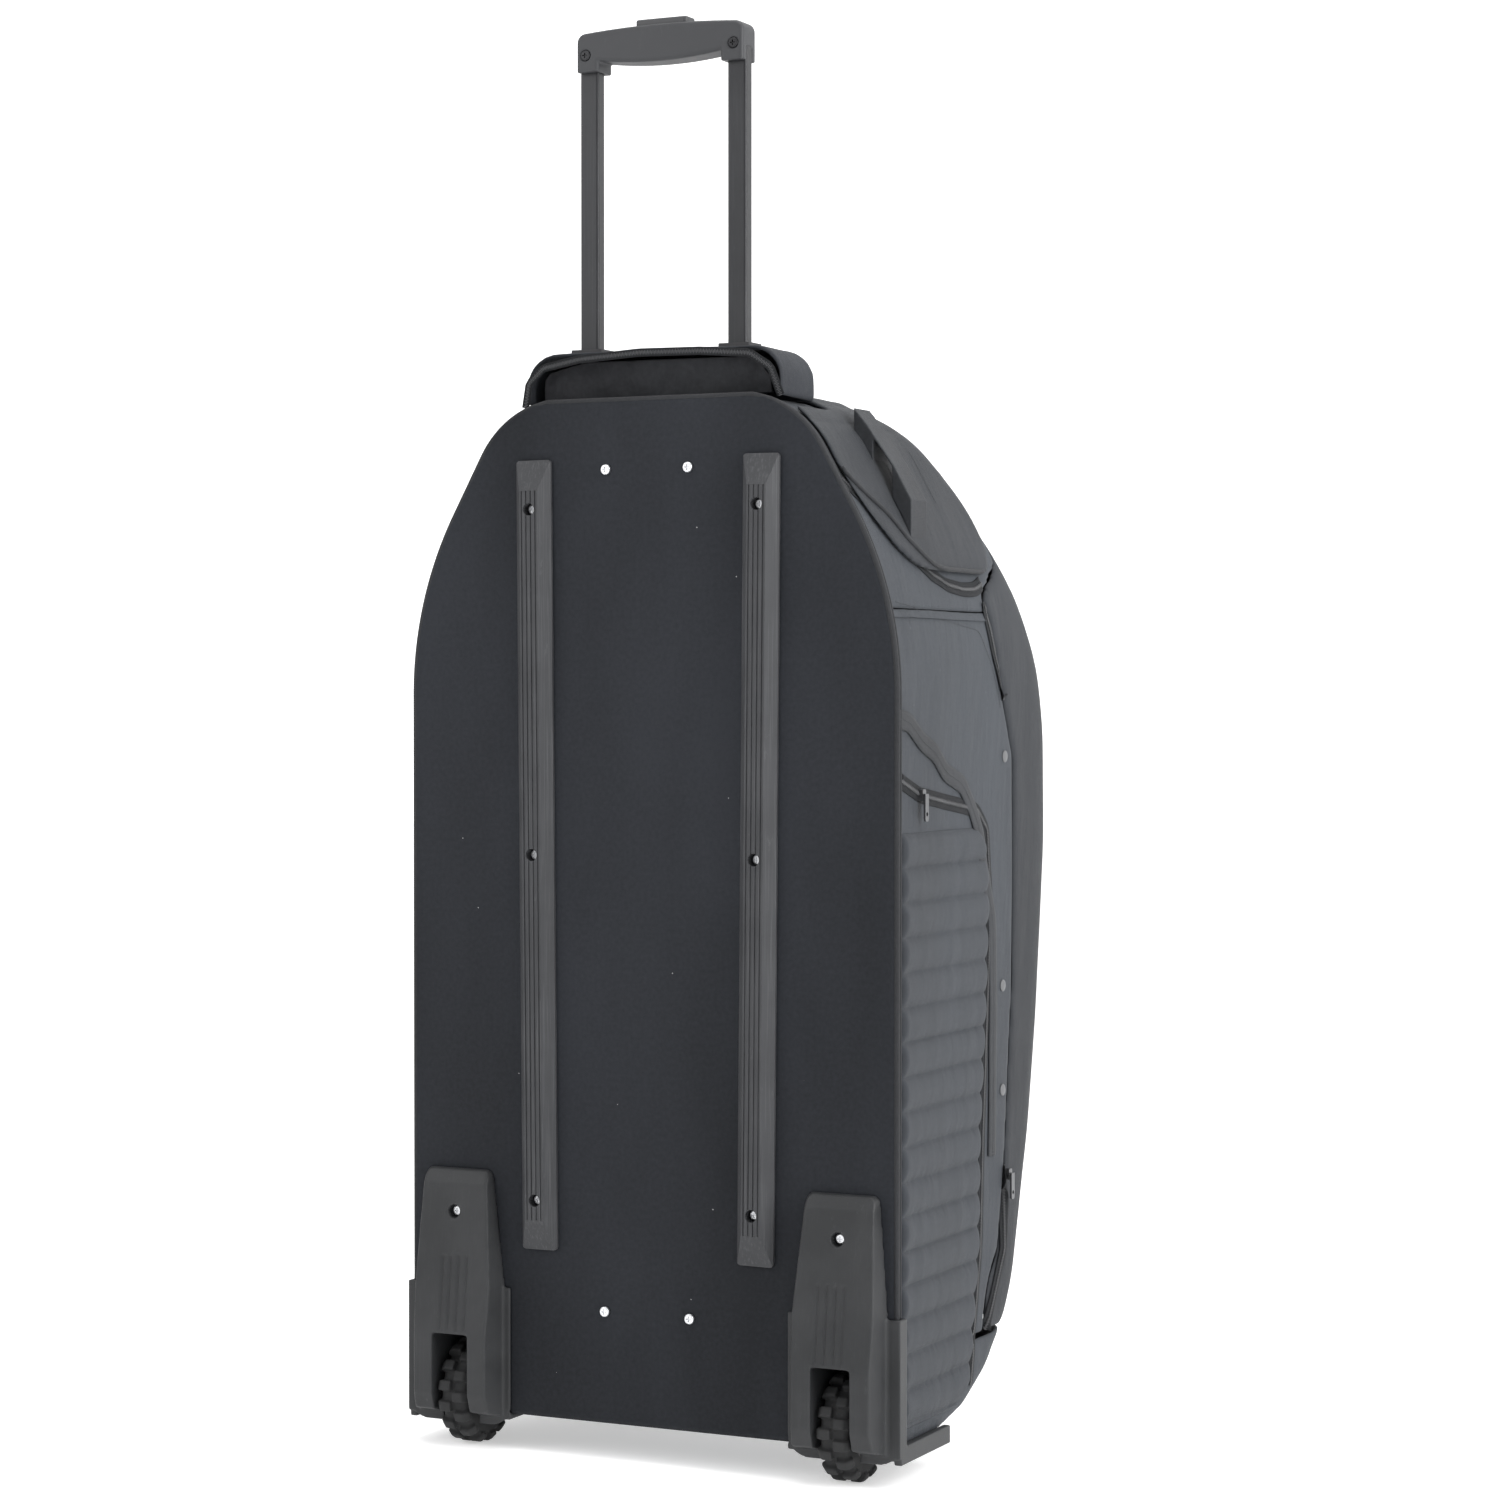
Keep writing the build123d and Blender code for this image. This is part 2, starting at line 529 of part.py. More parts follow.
def housing():
    """Moulded wheel housing and corner guard, right side."""
    flange = box(HOUSE_IN, HOUSE_OUT, -HOUSE_WALL, 0, BAG_FOOT - SHOE_H, HOUSE_SHOULDER)
    round_foot = [e for e in flange.edges() if abs((e % 0.5).Y) > 0.9 and (e @ 0.5).Z < 60]
    flange = fillet(round_foot, 22)
    spread = HUMP_HALF + HUMP_SPREAD
    with BuildSketch() as foot_print:
        with BuildLine():
            Polyline((WHEEL_X - spread, BAG_FOOT - 4), (WHEEL_X + spread, BAG_FOOT - 4),
                     (WHEEL_X + spread, HOUSE_SHOULDER), (WHEEL_X + HUMP_HALF + 6, HOUSE_TOP),
                     (WHEEL_X - HUMP_HALF - 1, HOUSE_TOP), (WHEEL_X - spread, HOUSE_SHOULDER), close=True)
        make_face()
        fillet([v for v in foot_print.vertices() if v.Y > HOUSE_TOP - 1], 9)
        fillet([v for v in foot_print.vertices() if abs(v.Y - HOUSE_SHOULDER) < 1], 30)
    hump = extrude(Plane.XZ * foot_print.sketch, amount=HUMP_LOW_D + 4, taper=16)
    with BuildSketch() as side:
        with BuildLine():
            Polyline((1, 0), (1, HOUSE_TOP + 2), (-4, HOUSE_TOP + 2), (-HUMP_HIGH_D, HOUSE_TOP - 14),
                     (-HUMP_LOW_D, WHEEL_R * 2 + 6), (-HUMP_LOW_D, 56), (-10, 0), close=True)
        make_face()
    hump = hump & extrude(Plane.YZ * side.sketch, amount=400)
    for index in range(GROOVES):
        x = WHEEL_X + (index - (GROOVES - 1) / 2) * GROOVE_PITCH - 2
        slot = rod_y(x, -40, -10, GROOVE_LOW, GROOVE_W / 2) + rod_y(x, -40, -10, GROOVE_HIGH, GROOVE_W / 2)
        slot += box(x - GROOVE_W / 2, x + GROOVE_W / 2, -40, -10, GROOVE_LOW, GROOVE_HIGH)
        slope = (HUMP_LOW_D - HUMP_HIGH_D) / (HOUSE_TOP - 14 - WHEEL_R * 2 - 6)
        plateau = across([(-60, 0), (-HUMP_LOW_D + 1.8, 0), (-HUMP_LOW_D + 1.8, WHEEL_R * 2 + 6),
                          (-HUMP_LOW_D + 1.8 + 120 * slope, WHEEL_R * 2 + 126), (-60, 240)])
        hump -= slot & plateau
    wing = box(BAG_HALF - SIDE_INSET, HOUSE_OUT, -HOUSE_WALL, WING_DEPTH, BAG_FOOT, HOUSE_SHOULDER)
    shoe = box(HOUSE_IN, HOUSE_OUT, -HOUSE_WALL, SHOE_DEPTH, BAG_FOOT - 6, BAG_FOOT)
    lip = box(BAG_HALF - SIDE_INSET, HOUSE_OUT, 0, SHOE_DEPTH, BAG_FOOT - SHOE_H, BAG_FOOT + 5)
    half = WHEEL_W / 2 + WELL_SIDE
    deep = WHEEL_Y + WHEEL_R + WELL_CLEAR
    high = WHEEL_R * 2 + WELL_CLEAR + 4
    lining = box(WHEEL_X - half - HOUSE_WALL, WHEEL_X + half + HOUSE_WALL, -1, deep + HOUSE_WALL,
                 BAG_FOOT - 6, high + HOUSE_WALL)
    shape = flange + hump + wing + shoe + lip + lining
    shape -= panel(0, SKIN) - well_space()
    shape -= panel(SKIN - 1, SKIN + BOARD) - well_space()
    room = box(WHEEL_X - half, WHEEL_X + half, -80, deep, -10, high)
    shape -= room
    shape -= rod_x(WHEEL_X - 30, WHEEL_X + 30, WHEEL_Y, WHEEL_R, AXLE_R)
    shape -= rod_y(WHEEL_X + 2, -60, -RAIL_FLOOR - 2, HOUSE_SCREW_Z, RECESS_R + 0.5)
    shape -= rod_y(WHEEL_X + 2, -60, 20, HOUSE_SCREW_Z, SCREW_R)
    return shape


add_pair("wheel_housing", housing())
rim = panel(SKIN, SKIN + 2 * PIPING_R) - panel(SKIN - 1, SKIN + 9, SIDE_INSET) - soft_body()
guards = parts["wheel_housing_right"] + parts["wheel_housing_left"]
parts["base_piping"] = rim - well - guards
house_screw = pan_screw(WHEEL_X + 2, HOUSE_SCREW_Z, -RAIL_FLOOR - 2, frame_y + NUT_H)
parts["housing_screws"] = both_sides(house_screw)
nut_points = [*rail_points, (WHEEL_X + 2, HOUSE_SCREW_Z)]
nuts = [tee_nut(x, z) for x, z in nut_points]
parts["tee_nuts"] = Compound([*nuts, *[mirrored(n) for n in nuts]])
drill = Compound([rod_y(x, -5, 20, z, SCREW_R) for x, z in [*nut_points, *FRAME_SCREWS]])
for name in ("base_panel", "base_board"):
    parts[name] = parts[name] - drill - mirrored(drill)


def wheel():
    """Tyre with two staggered rows of knobs, hub and bush, on the wheel's own axis."""
    core = rod_x(-WHEEL_W / 2 + 2, WHEEL_W / 2 - 2, 0, 0, WHEEL_R - TREAD)
    core = fillet(core.edges().filter_by(GeomType.CIRCLE), 7)
    rim = rod_x(-WHEEL_W / 2, WHEEL_W / 2, 0, 0, WHEEL_R)
    rim = chamfer(rim.edges().filter_by(GeomType.CIRCLE), 5)
    blocks = []
    for index in range(KNOBS):
        for row in (-1, 1):
            turn = 360 / KNOBS * (index + 0.25 * row)
            block = box(1.5 * row, 17 * row, -5, 5, WHEEL_R - TREAD - 3, WHEEL_R + 1)
            blocks.append(Rotation(turn, 0, 0) * block)
    tyre = core + [block & rim for block in blocks]
    hub_room = rod_x(-20, 20, 0, 0, HUB_R)
    hub = rod_x(-13, 13, 0, 0, HUB_R)
    dish = rod_x(8, 20, 0, 0, HUB_R - 5) - rod_x(7, 21, 0, 0, BUSH_R + 4)
    hub = hub - dish - mirrored(dish) + rod_x(-15, 15, 0, 0, BUSH_R + 3)
    hub -= rod_x(-20, 20, 0, 0, BUSH_R)
    bush = rod_x(-16, 16, 0, 0, BUSH_R) - rod_x(-20, 20, 0, 0, AXLE_R + RUN_CLEAR)
    return tyre - hub_room, hub, bush


for name, shape in zip(("tyre", "wheel_hub", "wheel_bush"), wheel()):
    add_pair(name, Pos(WHEEL_X, WHEEL_Y, WHEEL_R) * shape)
axle_half = WHEEL_W / 2 + WELL_SIDE + HOUSE_WALL
add_pair("axle", rod_x(WHEEL_X - axle_half, WHEEL_X + axle_half, WHEEL_Y, WHEEL_R, AXLE_R))

# Quilted pads, stand feet
pad = across(PAD) & box(BAG_HALF - SIDE_INSET, BAG_HALF - SIDE_INSET + PAD_PROUD, 0, 400, 0, 700)
add_pair("side_pad", pad)
stand = box(STAND_X - STAND_W / 2, STAND_X + STAND_W / 2, STAND_Y - STAND_D / 2,
            STAND_Y + STAND_D / 2, 0, 90)
stand = fillet([e for e in stand.edges() if abs((e % 0.5).Z) > 0.9], 8)
add_pair("stand_foot", stand - soft_body())


def slider(y, z, proud):
    face = BAG_HALF - SIDE_INSET + proud
    body = box(face, face + SLIDER_H, y - SLIDER_W / 2, y + SLIDER_W / 2,
               z - SLIDER_L / 2, z + SLIDER_L / 2)
    return fillet([e for e in body.edges() if abs((e % 0.5).X) > 0.9], 2)


def pull(y, z, proud):
    low = BAG_HALF - SIDE_INSET + proud + SLIDER_H + PULL_CLEAR
    tab = box(low, low + PULL_T, y - PULL_W / 2, y + PULL_W / 2,
              z - PULL_L + PULL_HEEL, z + PULL_HEEL)
    foot = [e for e in tab.edges() if abs((e % 0.5).X) > 0.9 and (e @ 0.5).Z < z - 9]
    tab = fillet(foot, 3)
    return tab - rod_x(low - 1, low + PULL_T + 1, y, z - PULL_L + 8, PULL_HOLE_R)


for name, (y, z) in (("pocket", POCKET_SLIDER), ("main", MAIN_SLIDER)):
    add_pair(name + "_slider", slider(y, z, GAP))
    add_pair(name + "_pull", pull(y, z, GAP))

for name, shape in parts.items():
    shape = Pos(0, BASE_Y, 0) * shape
    export_step(shape, "parts/" + name + ".step")
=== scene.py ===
from math import atan, cos, pi, radians, sin, sqrt, tan

import bmesh
import bpy
from mathutils import Matrix, Vector, noise
from mathutils.bvhtree import BVHTree


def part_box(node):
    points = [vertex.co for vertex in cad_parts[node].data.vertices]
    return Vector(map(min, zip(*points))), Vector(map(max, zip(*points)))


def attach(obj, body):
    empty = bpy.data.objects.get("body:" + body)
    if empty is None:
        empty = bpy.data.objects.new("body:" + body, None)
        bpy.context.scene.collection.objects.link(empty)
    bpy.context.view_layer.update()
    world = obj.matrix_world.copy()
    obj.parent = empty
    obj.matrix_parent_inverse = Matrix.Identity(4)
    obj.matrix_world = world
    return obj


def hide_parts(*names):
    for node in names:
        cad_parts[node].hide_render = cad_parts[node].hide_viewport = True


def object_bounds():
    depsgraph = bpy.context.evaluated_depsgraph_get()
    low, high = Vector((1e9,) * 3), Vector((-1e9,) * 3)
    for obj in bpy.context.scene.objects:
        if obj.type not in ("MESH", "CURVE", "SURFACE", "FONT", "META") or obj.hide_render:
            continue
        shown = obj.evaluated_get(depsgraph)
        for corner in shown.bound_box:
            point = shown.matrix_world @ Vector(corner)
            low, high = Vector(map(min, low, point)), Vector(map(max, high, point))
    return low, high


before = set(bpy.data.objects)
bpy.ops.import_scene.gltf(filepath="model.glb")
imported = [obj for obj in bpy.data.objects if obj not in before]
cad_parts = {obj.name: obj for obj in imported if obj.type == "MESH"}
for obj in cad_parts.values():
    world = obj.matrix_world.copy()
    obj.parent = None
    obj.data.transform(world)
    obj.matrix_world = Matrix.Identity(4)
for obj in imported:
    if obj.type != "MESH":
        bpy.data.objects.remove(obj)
cad_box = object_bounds()

# ---------------------------------------------------------------- studio
# Plain pale floor and backdrop, soft boxes to the right, left and above,
# and a long lens a little above the middle of the bag.
MM = 0.001
scene = bpy.context.scene
ground = cad_box[0][2]
back_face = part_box("base_panel")[0][1]


def add_object(name, mesh):
    made = bpy.data.objects.new(name, mesh)
    scene.collection.objects.link(made)
    return made


def mesh_of(name, points, faces):
    mesh = bpy.data.meshes.new(name)
    mesh.from_pydata([tuple(p) for p in points], [], faces)
    mesh.validate()
    mesh.update()
    return mesh


FLOOR_HALF = 60.0
floor_points = [(-FLOOR_HALF, -FLOOR_HALF, ground), (FLOOR_HALF, -FLOOR_HALF, ground),
                (FLOOR_HALF, FLOOR_HALF, ground), (-FLOOR_HALF, FLOOR_HALF, ground)]
floor = add_object("floor", mesh_of("floor", floor_points, [(0, 1, 2, 3)]))
floor_look = bpy.data.materials.new("pale_floor")
floor_look.use_nodes = True
floor_shader = floor_look.node_tree.nodes["Principled BSDF"]
floor_shader.inputs["Base Color"].default_value = (0.86, 0.86, 0.86, 1)
floor_shader.inputs["Roughness"].default_value = 0.9
floor_shader.inputs["Emission Color"].default_value = (1.0, 1.0, 1.0, 1)
floor_shader.inputs["Emission Strength"].default_value = 0.42
floor.data.materials.append(floor_look)
BACKDROP_AWAY, BACKDROP_HIGH = 14.0, 24.0
backdrop_points = [(-40.0, BACKDROP_AWAY, ground), (40.0, BACKDROP_AWAY, ground),
                   (40.0, BACKDROP_AWAY, BACKDROP_HIGH), (-40.0, BACKDROP_AWAY, BACKDROP_HIGH)]
backdrop = add_object("backdrop", mesh_of("backdrop", backdrop_points, [(0, 1, 2, 3)]))
backdrop_look = bpy.data.materials.new("white_backdrop")
backdrop_look.use_nodes = True
backdrop_shader = backdrop_look.node_tree.nodes["Principled BSDF"]
backdrop_shader.inputs["Emission Color"].default_value = (1.0, 1.0, 1.0, 1)
backdrop_shader.inputs["Emission Strength"].default_value = 0.75
backdrop.data.materials.append(backdrop_look)

world = bpy.data.worlds.new("studio")
scene.world = world
world.use_nodes = True
world.node_tree.nodes["Background"].inputs["Color"].default_value = (1.0, 1.0, 1.0, 1)
world.node_tree.nodes["Background"].inputs["Strength"].default_value = 0.62


def soft_box(name, place, aim, size, power):
    lamp = bpy.data.lights.new(name, "AREA")
    lamp.shape = "RECTANGLE"
    lamp.size, lamp.size_y = size
    lamp.energy = power
    made = bpy.data.objects.new(name, lamp)
    scene.collection.objects.link(made)
    made.location = place
    made.rotation_euler = (Vector(aim) - Vector(place)).to_track_quat("-Z", "Y").to_euler()


soft_box("light_right", (3.0, -0.6, 1.7), (0.0, 0.0, 0.6), (1.6, 2.4), 105)
soft_box("light_left", (-2.2, -2.6, 2.2), (0.0, 0.0, 0.6), (1.8, 2.2), 45)
soft_box("light_top", (0.2, -0.3, 3.4), (0.0, 0.0, 0.4), (2.2, 2.2), 60)

CAMERA_PLACE = Vector((1.5731, -3.0003 + back_face, 0.7427 + ground))
CAMERA_TURN = 26.0
CAMERA_DIP = 0.934
LENS = 84.83
camera_data = bpy.data.cameras.new("camera")
camera_data.lens = LENS
camera_data.sensor_width = 36.0
camera = bpy.data.objects.new("camera", camera_data)
scene.collection.objects.link(camera)
turn, dip = radians(CAMERA_TURN), radians(CAMERA_DIP)
look = Vector((-sin(turn) * cos(dip), cos(turn) * cos(dip), -sin(dip)))
camera.location = CAMERA_PLACE
camera.rotation_euler = look.to_track_quat("-Z", "Y").to_euler()
scene.camera = camera
scene.view_settings.view_transform = "Standard"

# ---------------------------------------------------------------- base panel
# Coated polyester stretched over the stiff board that is the bag's back.
# It is glued and stapled round the board's edge, under the piping.


def group(name, inputs, outputs):
    """A shader node group with named inputs, given as name: default."""
    tree = bpy.data.node_groups.new(name, "ShaderNodeTree")
    for label, value in inputs.items():
        kind = "NodeSocketColor" if isinstance(value, tuple) else "NodeSocketFloat"
        socket = tree.interface.new_socket(label, in_out="INPUT", socket_type=kind)
        socket.default_value = value
    for label, kind in outputs.items():
        tree.interface.new_socket(label, in_out="OUTPUT", socket_type=kind)
    return tree, tree.nodes.new("NodeGroupInput"), tree.nodes.new("NodeGroupOutput")


def node(tree, kind, links=None, **settings):
    """Add a node, set its properties, and link or set its inputs."""
    made = tree.nodes.new(kind)
    for key, value in settings.items():
        setattr(made, key, value)
    for key, value in (links or {}).items():
        if isinstance(value, bpy.types.NodeSocket):
            tree.links.new(value, made.inputs[key])
        else:
            made.inputs[key].default_value = value
    return made


def sums(tree, operation, first, second=0.0, third=None):
    made = node(tree, "ShaderNodeMath", {0: first, 1: second}, operation=operation)
    if third is not None:
        if isinstance(third, bpy.types.NodeSocket):
            tree.links.new(third, made.inputs[2])
        else:
            made.inputs[2].default_value = third
    return made.outputs[0]


def noise_out(tree, place, scale, detail=2.0, rough=0.5):
    made = node(tree, "ShaderNodeTexNoise", {"Vector": place, "Scale": scale, "Detail": detail,
                                             "Roughness": rough})
    return made.outputs["Fac"]


def stretched(tree, place, scale):
    return node(tree, "ShaderNodeVectorMath", {0: place, 1: scale}, operation="MULTIPLY").outputs[0]


def weave_group():
    """Plain weave, threads per metre along each axis of the piece."""
    tree, given, out = group("plain_weave", {"Threads": 1100.0}, {"Height": "NodeSocketFloat"})
    place = node(tree, "ShaderNodeTexCoord").outputs["Object"]
    apart = node(tree, "ShaderNodeSeparateXYZ", {0: place})
    waves = []
    for axis in range(3):
        phase = sums(tree, "MULTIPLY", apart.outputs[axis], given.outputs["Threads"])
        waves.append(sums(tree, "SINE", sums(tree, "MULTIPLY", phase, 2 * pi)))
    total = sums(tree, "MULTIPLY", waves[0], waves[2])
    total = sums(tree, "MULTIPLY_ADD", waves[1], waves[2], total)
    total = sums(tree, "MULTIPLY_ADD", waves[0], waves[1], total)
    tree.links.new(total, out.inputs["Height"])
    return tree


def cloth_tone_group():
    """Slow changes of tone, soft creases and a few pale specks of lint."""
    inputs = {"Dark": (0.02, 0.021, 0.024, 1), "Light": (0.035, 0.037, 0.042, 1), "Lint": 0.5}
    outputs = {"Color": "NodeSocketColor", "Crease": "NodeSocketFloat", "Rough": "NodeSocketFloat"}
    tree, given, out = group("cloth_tone", inputs, outputs)
    place = node(tree, "ShaderNodeTexCoord").outputs["Object"]
    slanted = node(tree, "ShaderNodeMapping", {"Vector": place, "Rotation": (0.5, 0.6, 0.4),
                                               "Scale": (1.0, 1.0, 0.4)}).outputs[0]
    slow = noise_out(tree, slanted, 5.0, 3.0)
    fine = noise_out(tree, place, 240.0, 2.0)
    blend = sums(tree, "MULTIPLY_ADD", slow, 0.75, sums(tree, "MULTIPLY", fine, 0.25))
    ramp = node(tree, "ShaderNodeMapRange", {"Value": blend, "From Min": 0.35, "From Max": 0.65})
    tone = node(tree, "ShaderNodeMix", {"Factor": ramp.outputs[0], 6: given.outputs["Dark"],
                                        7: given.outputs["Light"]}, data_type="RGBA")
    dots = node(tree, "ShaderNodeTexVoronoi", {"Vector": place, "Scale": 60.0}, feature="F1")
    near = sums(tree, "LESS_THAN", dots.outputs["Distance"], 0.035)
    few = noise_out(tree, place, 23.0, 1.0)
    some = sums(tree, "GREATER_THAN", few, 0.62)
    lint = sums(tree, "MULTIPLY", sums(tree, "MULTIPLY", near, some), given.outputs["Lint"])
    final = node(tree, "ShaderNodeMix", {"Factor": lint, 6: tone.outputs[2],
                                         7: (0.45, 0.45, 0.46, 1)}, data_type="RGBA")
    crease = noise_out(tree, stretched(tree, slanted, (1.0, 1.0, 0.5)), 26.0, 3.0, 0.55)
    rough = node(tree, "ShaderNodeMapRange", {"Value": slow, "To Min": 0.62, "To Max": 0.8})
    tree.links.new(final.outputs[2], out.inputs["Color"])
    tree.links.new(crease, out.inputs["Crease"])
    tree.links.new(rough.outputs[0], out.inputs["Rough"])
    return tree


WEAVE = weave_group()
CLOTH_TONE = cloth_tone_group()


def use(tree, inner, **values):
    made = tree.nodes.new("ShaderNodeGroup")
    made.node_tree = inner
    for key, value in values.items():
        made.inputs[key.replace("_", " ")].default_value = value
    return made


def bumped(tree, height, strength, distance, under=None):
    made = node(tree, "ShaderNodeBump", {"Height": height, "Strength": strength, "Distance": distance})
    if under is not None:
        tree.links.new(under, made.inputs["Normal"])
    return made.outputs["Normal"]


def cloth(name, dark, light, threads=1100.0, lint=0.5, crease=0.5, sheen=0.03, gloss=0.14):
    look = bpy.data.materials.new(name)
    look.use_nodes = True
    tree = look.node_tree
    shader = tree.nodes["Principled BSDF"]
    tone = use(tree, CLOTH_TONE, Dark=(*dark, 1), Light=(*light, 1), Lint=lint)
    weave = use(tree, WEAVE, Threads=threads)
    normal = bumped(tree, tone.outputs["Crease"], crease, 0.006)
    normal = bumped(tree, weave.outputs["Height"], 0.35, 0.0003, normal)
    tree.links.new(tone.outputs["Color"], shader.inputs["Base Color"])
    tree.links.new(tone.outputs["Rough"], shader.inputs["Roughness"])
    tree.links.new(normal, shader.inputs["Normal"])
    shader.inputs["Sheen Weight"].default_value = sheen
    shader.inputs["Sheen Roughness"].default_value = 0.4
    shader.inputs["Specular IOR Level"].default_value = gloss
    return look


BAG_HALF, BAG_TOP, BAG_FOOT = 262 * MM, 1026 * MM, 36 * MM
SHOULDER_Z, CROWN_HALF = 835 * MM, 156 * MM
SHOULDER_R, CROWN_R = 360 * MM, 100 * MM


def half_width(z):
    """Half the base panel's width at a height, with both shoulder bends."""
    tilt = atan((BAG_HALF - CROWN_HALF) / (BAG_TOP - SHOULDER_Z))
    low_run = SHOULDER_R * tan(tilt / 2)
    high_run = CROWN_R * tan((pi / 2 - tilt) / 2)
    if z <= SHOULDER_Z - low_run:
        return BAG_HALF
    if z <= SHOULDER_Z + low_run * cos(tilt):
        rise = z - (SHOULDER_Z - low_run)
        return BAG_HALF - SHOULDER_R + sqrt(SHOULDER_R**2 - rise**2)
    if z <= BAG_TOP - high_run * cos(tilt):
        return BAG_HALF - (z - SHOULDER_Z) * tan(tilt)
    rise = CROWN_R - (BAG_TOP - z)
    return CROWN_HALF - high_run + sqrt(max(CROWN_R**2 - rise**2, 0))


def finish_piece(piece, body, look, stands_for=(), smooth=True):
    """Give a piece its finish and body, and hide the CAD nodes it stands for."""
    piece.data.materials.clear()
    piece.data.materials.append(look)
    if smooth:
        piece.data.shade_smooth()
    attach(piece, body)
    if stands_for:
        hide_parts(*stands_for)
    return piece


def base_cover():
    """The panel's cloth: a fine grid inside the outline, with slight waves."""
    rows, columns = 200, 110
    skin = 2 * MM
    well_low = 181 * MM
    well_high = 229 * MM
    well_top = 116 * MM
    points, faces = [], []
    for row in range(rows + 1):
        share = row / rows
        z = BAG_FOOT + (BAG_TOP - BAG_FOOT) * share
        half = half_width(z)
        for column in range(columns + 1):
            x = -half + 2 * half * column / columns
            edge = min(half - abs(x), z - BAG_FOOT, (BAG_TOP - z) * 1.5)
            inner = min(edge / (40 * MM), 1.0)
            wave = noise.noise(Vector((x * 7 + z * 3, 1.7, z * 4.5)))
            wave += 0.5 * noise.noise(Vector((x * 15 - z * 9, 5.1, z * 8)))
            roll = max(0.0, 1 - edge / (3 * MM))
            y = back_face + 0.55 * MM + inner * (0.45 * MM * wave) + roll * roll * skin * 0.8
            points.append((x, y, z))
    wide = columns + 1
    for row in range(rows):
        for column in range(columns):
            first = row * wide + column
            middle = (Vector(points[first]) + Vector(points[first + wide + 1])) / 2
            if middle.z < well_top and well_low < abs(middle.x) < well_high:
                continue
            faces.append((first, first + 1, first + wide + 1, first + wide))
    piece = add_object("base_cover", mesh_of("base_cover", points, faces))
    thick = piece.modifiers.new("thickness", "SOLIDIFY")
    thick.thickness = 1.2 * MM
    thick.offset = -1
    return piece


base_look = cloth("base_cloth", (0.01, 0.0112, 0.0138), (0.0215, 0.0235, 0.0285), lint=0.7, crease=0.3)
finish_piece(base_cover(), "bag", base_look, ["base_panel"])


# ---------------------------------------------------------------- board and inner metalwork
# Polypropylene sheet that stiffens the back, with the handle's sleeves, brackets,
# T-nuts and collars screwed or clamped to it inside the bag.


def grain_group():
    """Fine moulded texture with slow tone changes, scratches and dust."""
    inputs = {"Base": (0.05, 0.05, 0.052, 1), "Worn": (0.14, 0.14, 0.145, 1), "Wear": 0.5, "Streak": 0.0,
              "Rough": 0.55}
    outputs = {"Color": "NodeSocketColor", "Rough": "NodeSocketFloat", "Height": "NodeSocketFloat"}
    tree, given, out = group("moulded_grain", inputs, outputs)
    place = node(tree, "ShaderNodeTexCoord").outputs["Object"]
    grain = noise_out(tree, place, 1400.0, 2.0, 0.7)
    slow = noise_out(tree, place, 14.0, 4.0, 0.6)
    lines = noise_out(tree, stretched(tree, place, (520.0, 520.0, 9.0)), 1.0, 3.0, 0.65)
    marks = node(tree, "ShaderNodeMapRange", {"Value": lines, "From Min": 0.52, "From Max": 0.74}).outputs[0]
    marks = sums(tree, "MULTIPLY", marks, given.outputs["Streak"])
    nicks = noise_out(tree, stretched(tree, place, (90.0, 90.0, 34.0)), 1.0, 5.0, 0.75)
    nicks = node(tree, "ShaderNodeMapRange", {"Value": nicks, "From Min": 0.62, "From Max": 0.78}).outputs[0]
    nicks = sums(tree, "MULTIPLY", nicks, given.outputs["Wear"])
    haze = sums(tree, "MULTIPLY", sums(tree, "SUBTRACT", slow, 0.4), 0.5)
    worn = sums(tree, "ADD", sums(tree, "MAXIMUM", marks, nicks), haze)
    worn = node(tree, "ShaderNodeClamp", {"Value": worn}).outputs[0]
    tone = node(tree, "ShaderNodeMix", {"Factor": worn, 6: given.outputs["Base"],
                                        7: given.outputs["Worn"]}, data_type="RGBA")
    rough = sums(tree, "MULTIPLY_ADD", slow, 0.25, sums(tree, "SUBTRACT", given.outputs["Rough"], 0.12))
    height = sums(tree, "MULTIPLY_ADD", marks, -1.5, grain)
    tree.links.new(tone.outputs[2], out.inputs["Color"])
    tree.links.new(rough, out.inputs["Rough"])
    tree.links.new(height, out.inputs["Height"])
    return tree


GRAIN = grain_group()


def plastic(name, base, worn, wear=0.5, streak=0.0, rough=0.55, bump=0.35, metal=0.0, gloss=0.4):
    look = bpy.data.materials.new(name)
    look.use_nodes = True
    tree = look.node_tree
    shader = tree.nodes["Principled BSDF"]
    grain = use(tree, GRAIN, Base=(*base, 1), Worn=(*worn, 1), Wear=wear, Streak=streak, Rough=rough)
    tree.links.new(grain.outputs["Color"], shader.inputs["Base Color"])
    tree.links.new(grain.outputs["Rough"], shader.inputs["Roughness"])
    tree.links.new(bumped(tree, grain.outputs["Height"], bump, 0.0002), shader.inputs["Normal"])
    shader.inputs["Metallic"].default_value = metal
    shader.inputs["Specular IOR Level"].default_value = gloss
    return look


def paint_nodes(look, *names):
    for name in names:
        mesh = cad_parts[name].data
        mesh.materials.clear()
        mesh.materials.append(look)


def both(name):
    return name + "_left", name + "_right"


paint_nodes(plastic("board_sheet", (0.03, 0.03, 0.032), (0.06, 0.06, 0.062), 0.2), "base_board")
inner_plastic = plastic("inner_plastic", (0.025, 0.025, 0.028), (0.07, 0.07, 0.072), 0.3)
paint_nodes(inner_plastic, "handle_bracket_top", "handle_bracket_foot", "tube_collars")
mill_metal = plastic("mill_aluminium", (0.5, 0.51, 0.53), (0.66, 0.67, 0.69), 0.3, 0.4, 0.42, 0.15, 1.0)
paint_nodes(mill_metal, *both("tube_sleeve"), "lock_link")

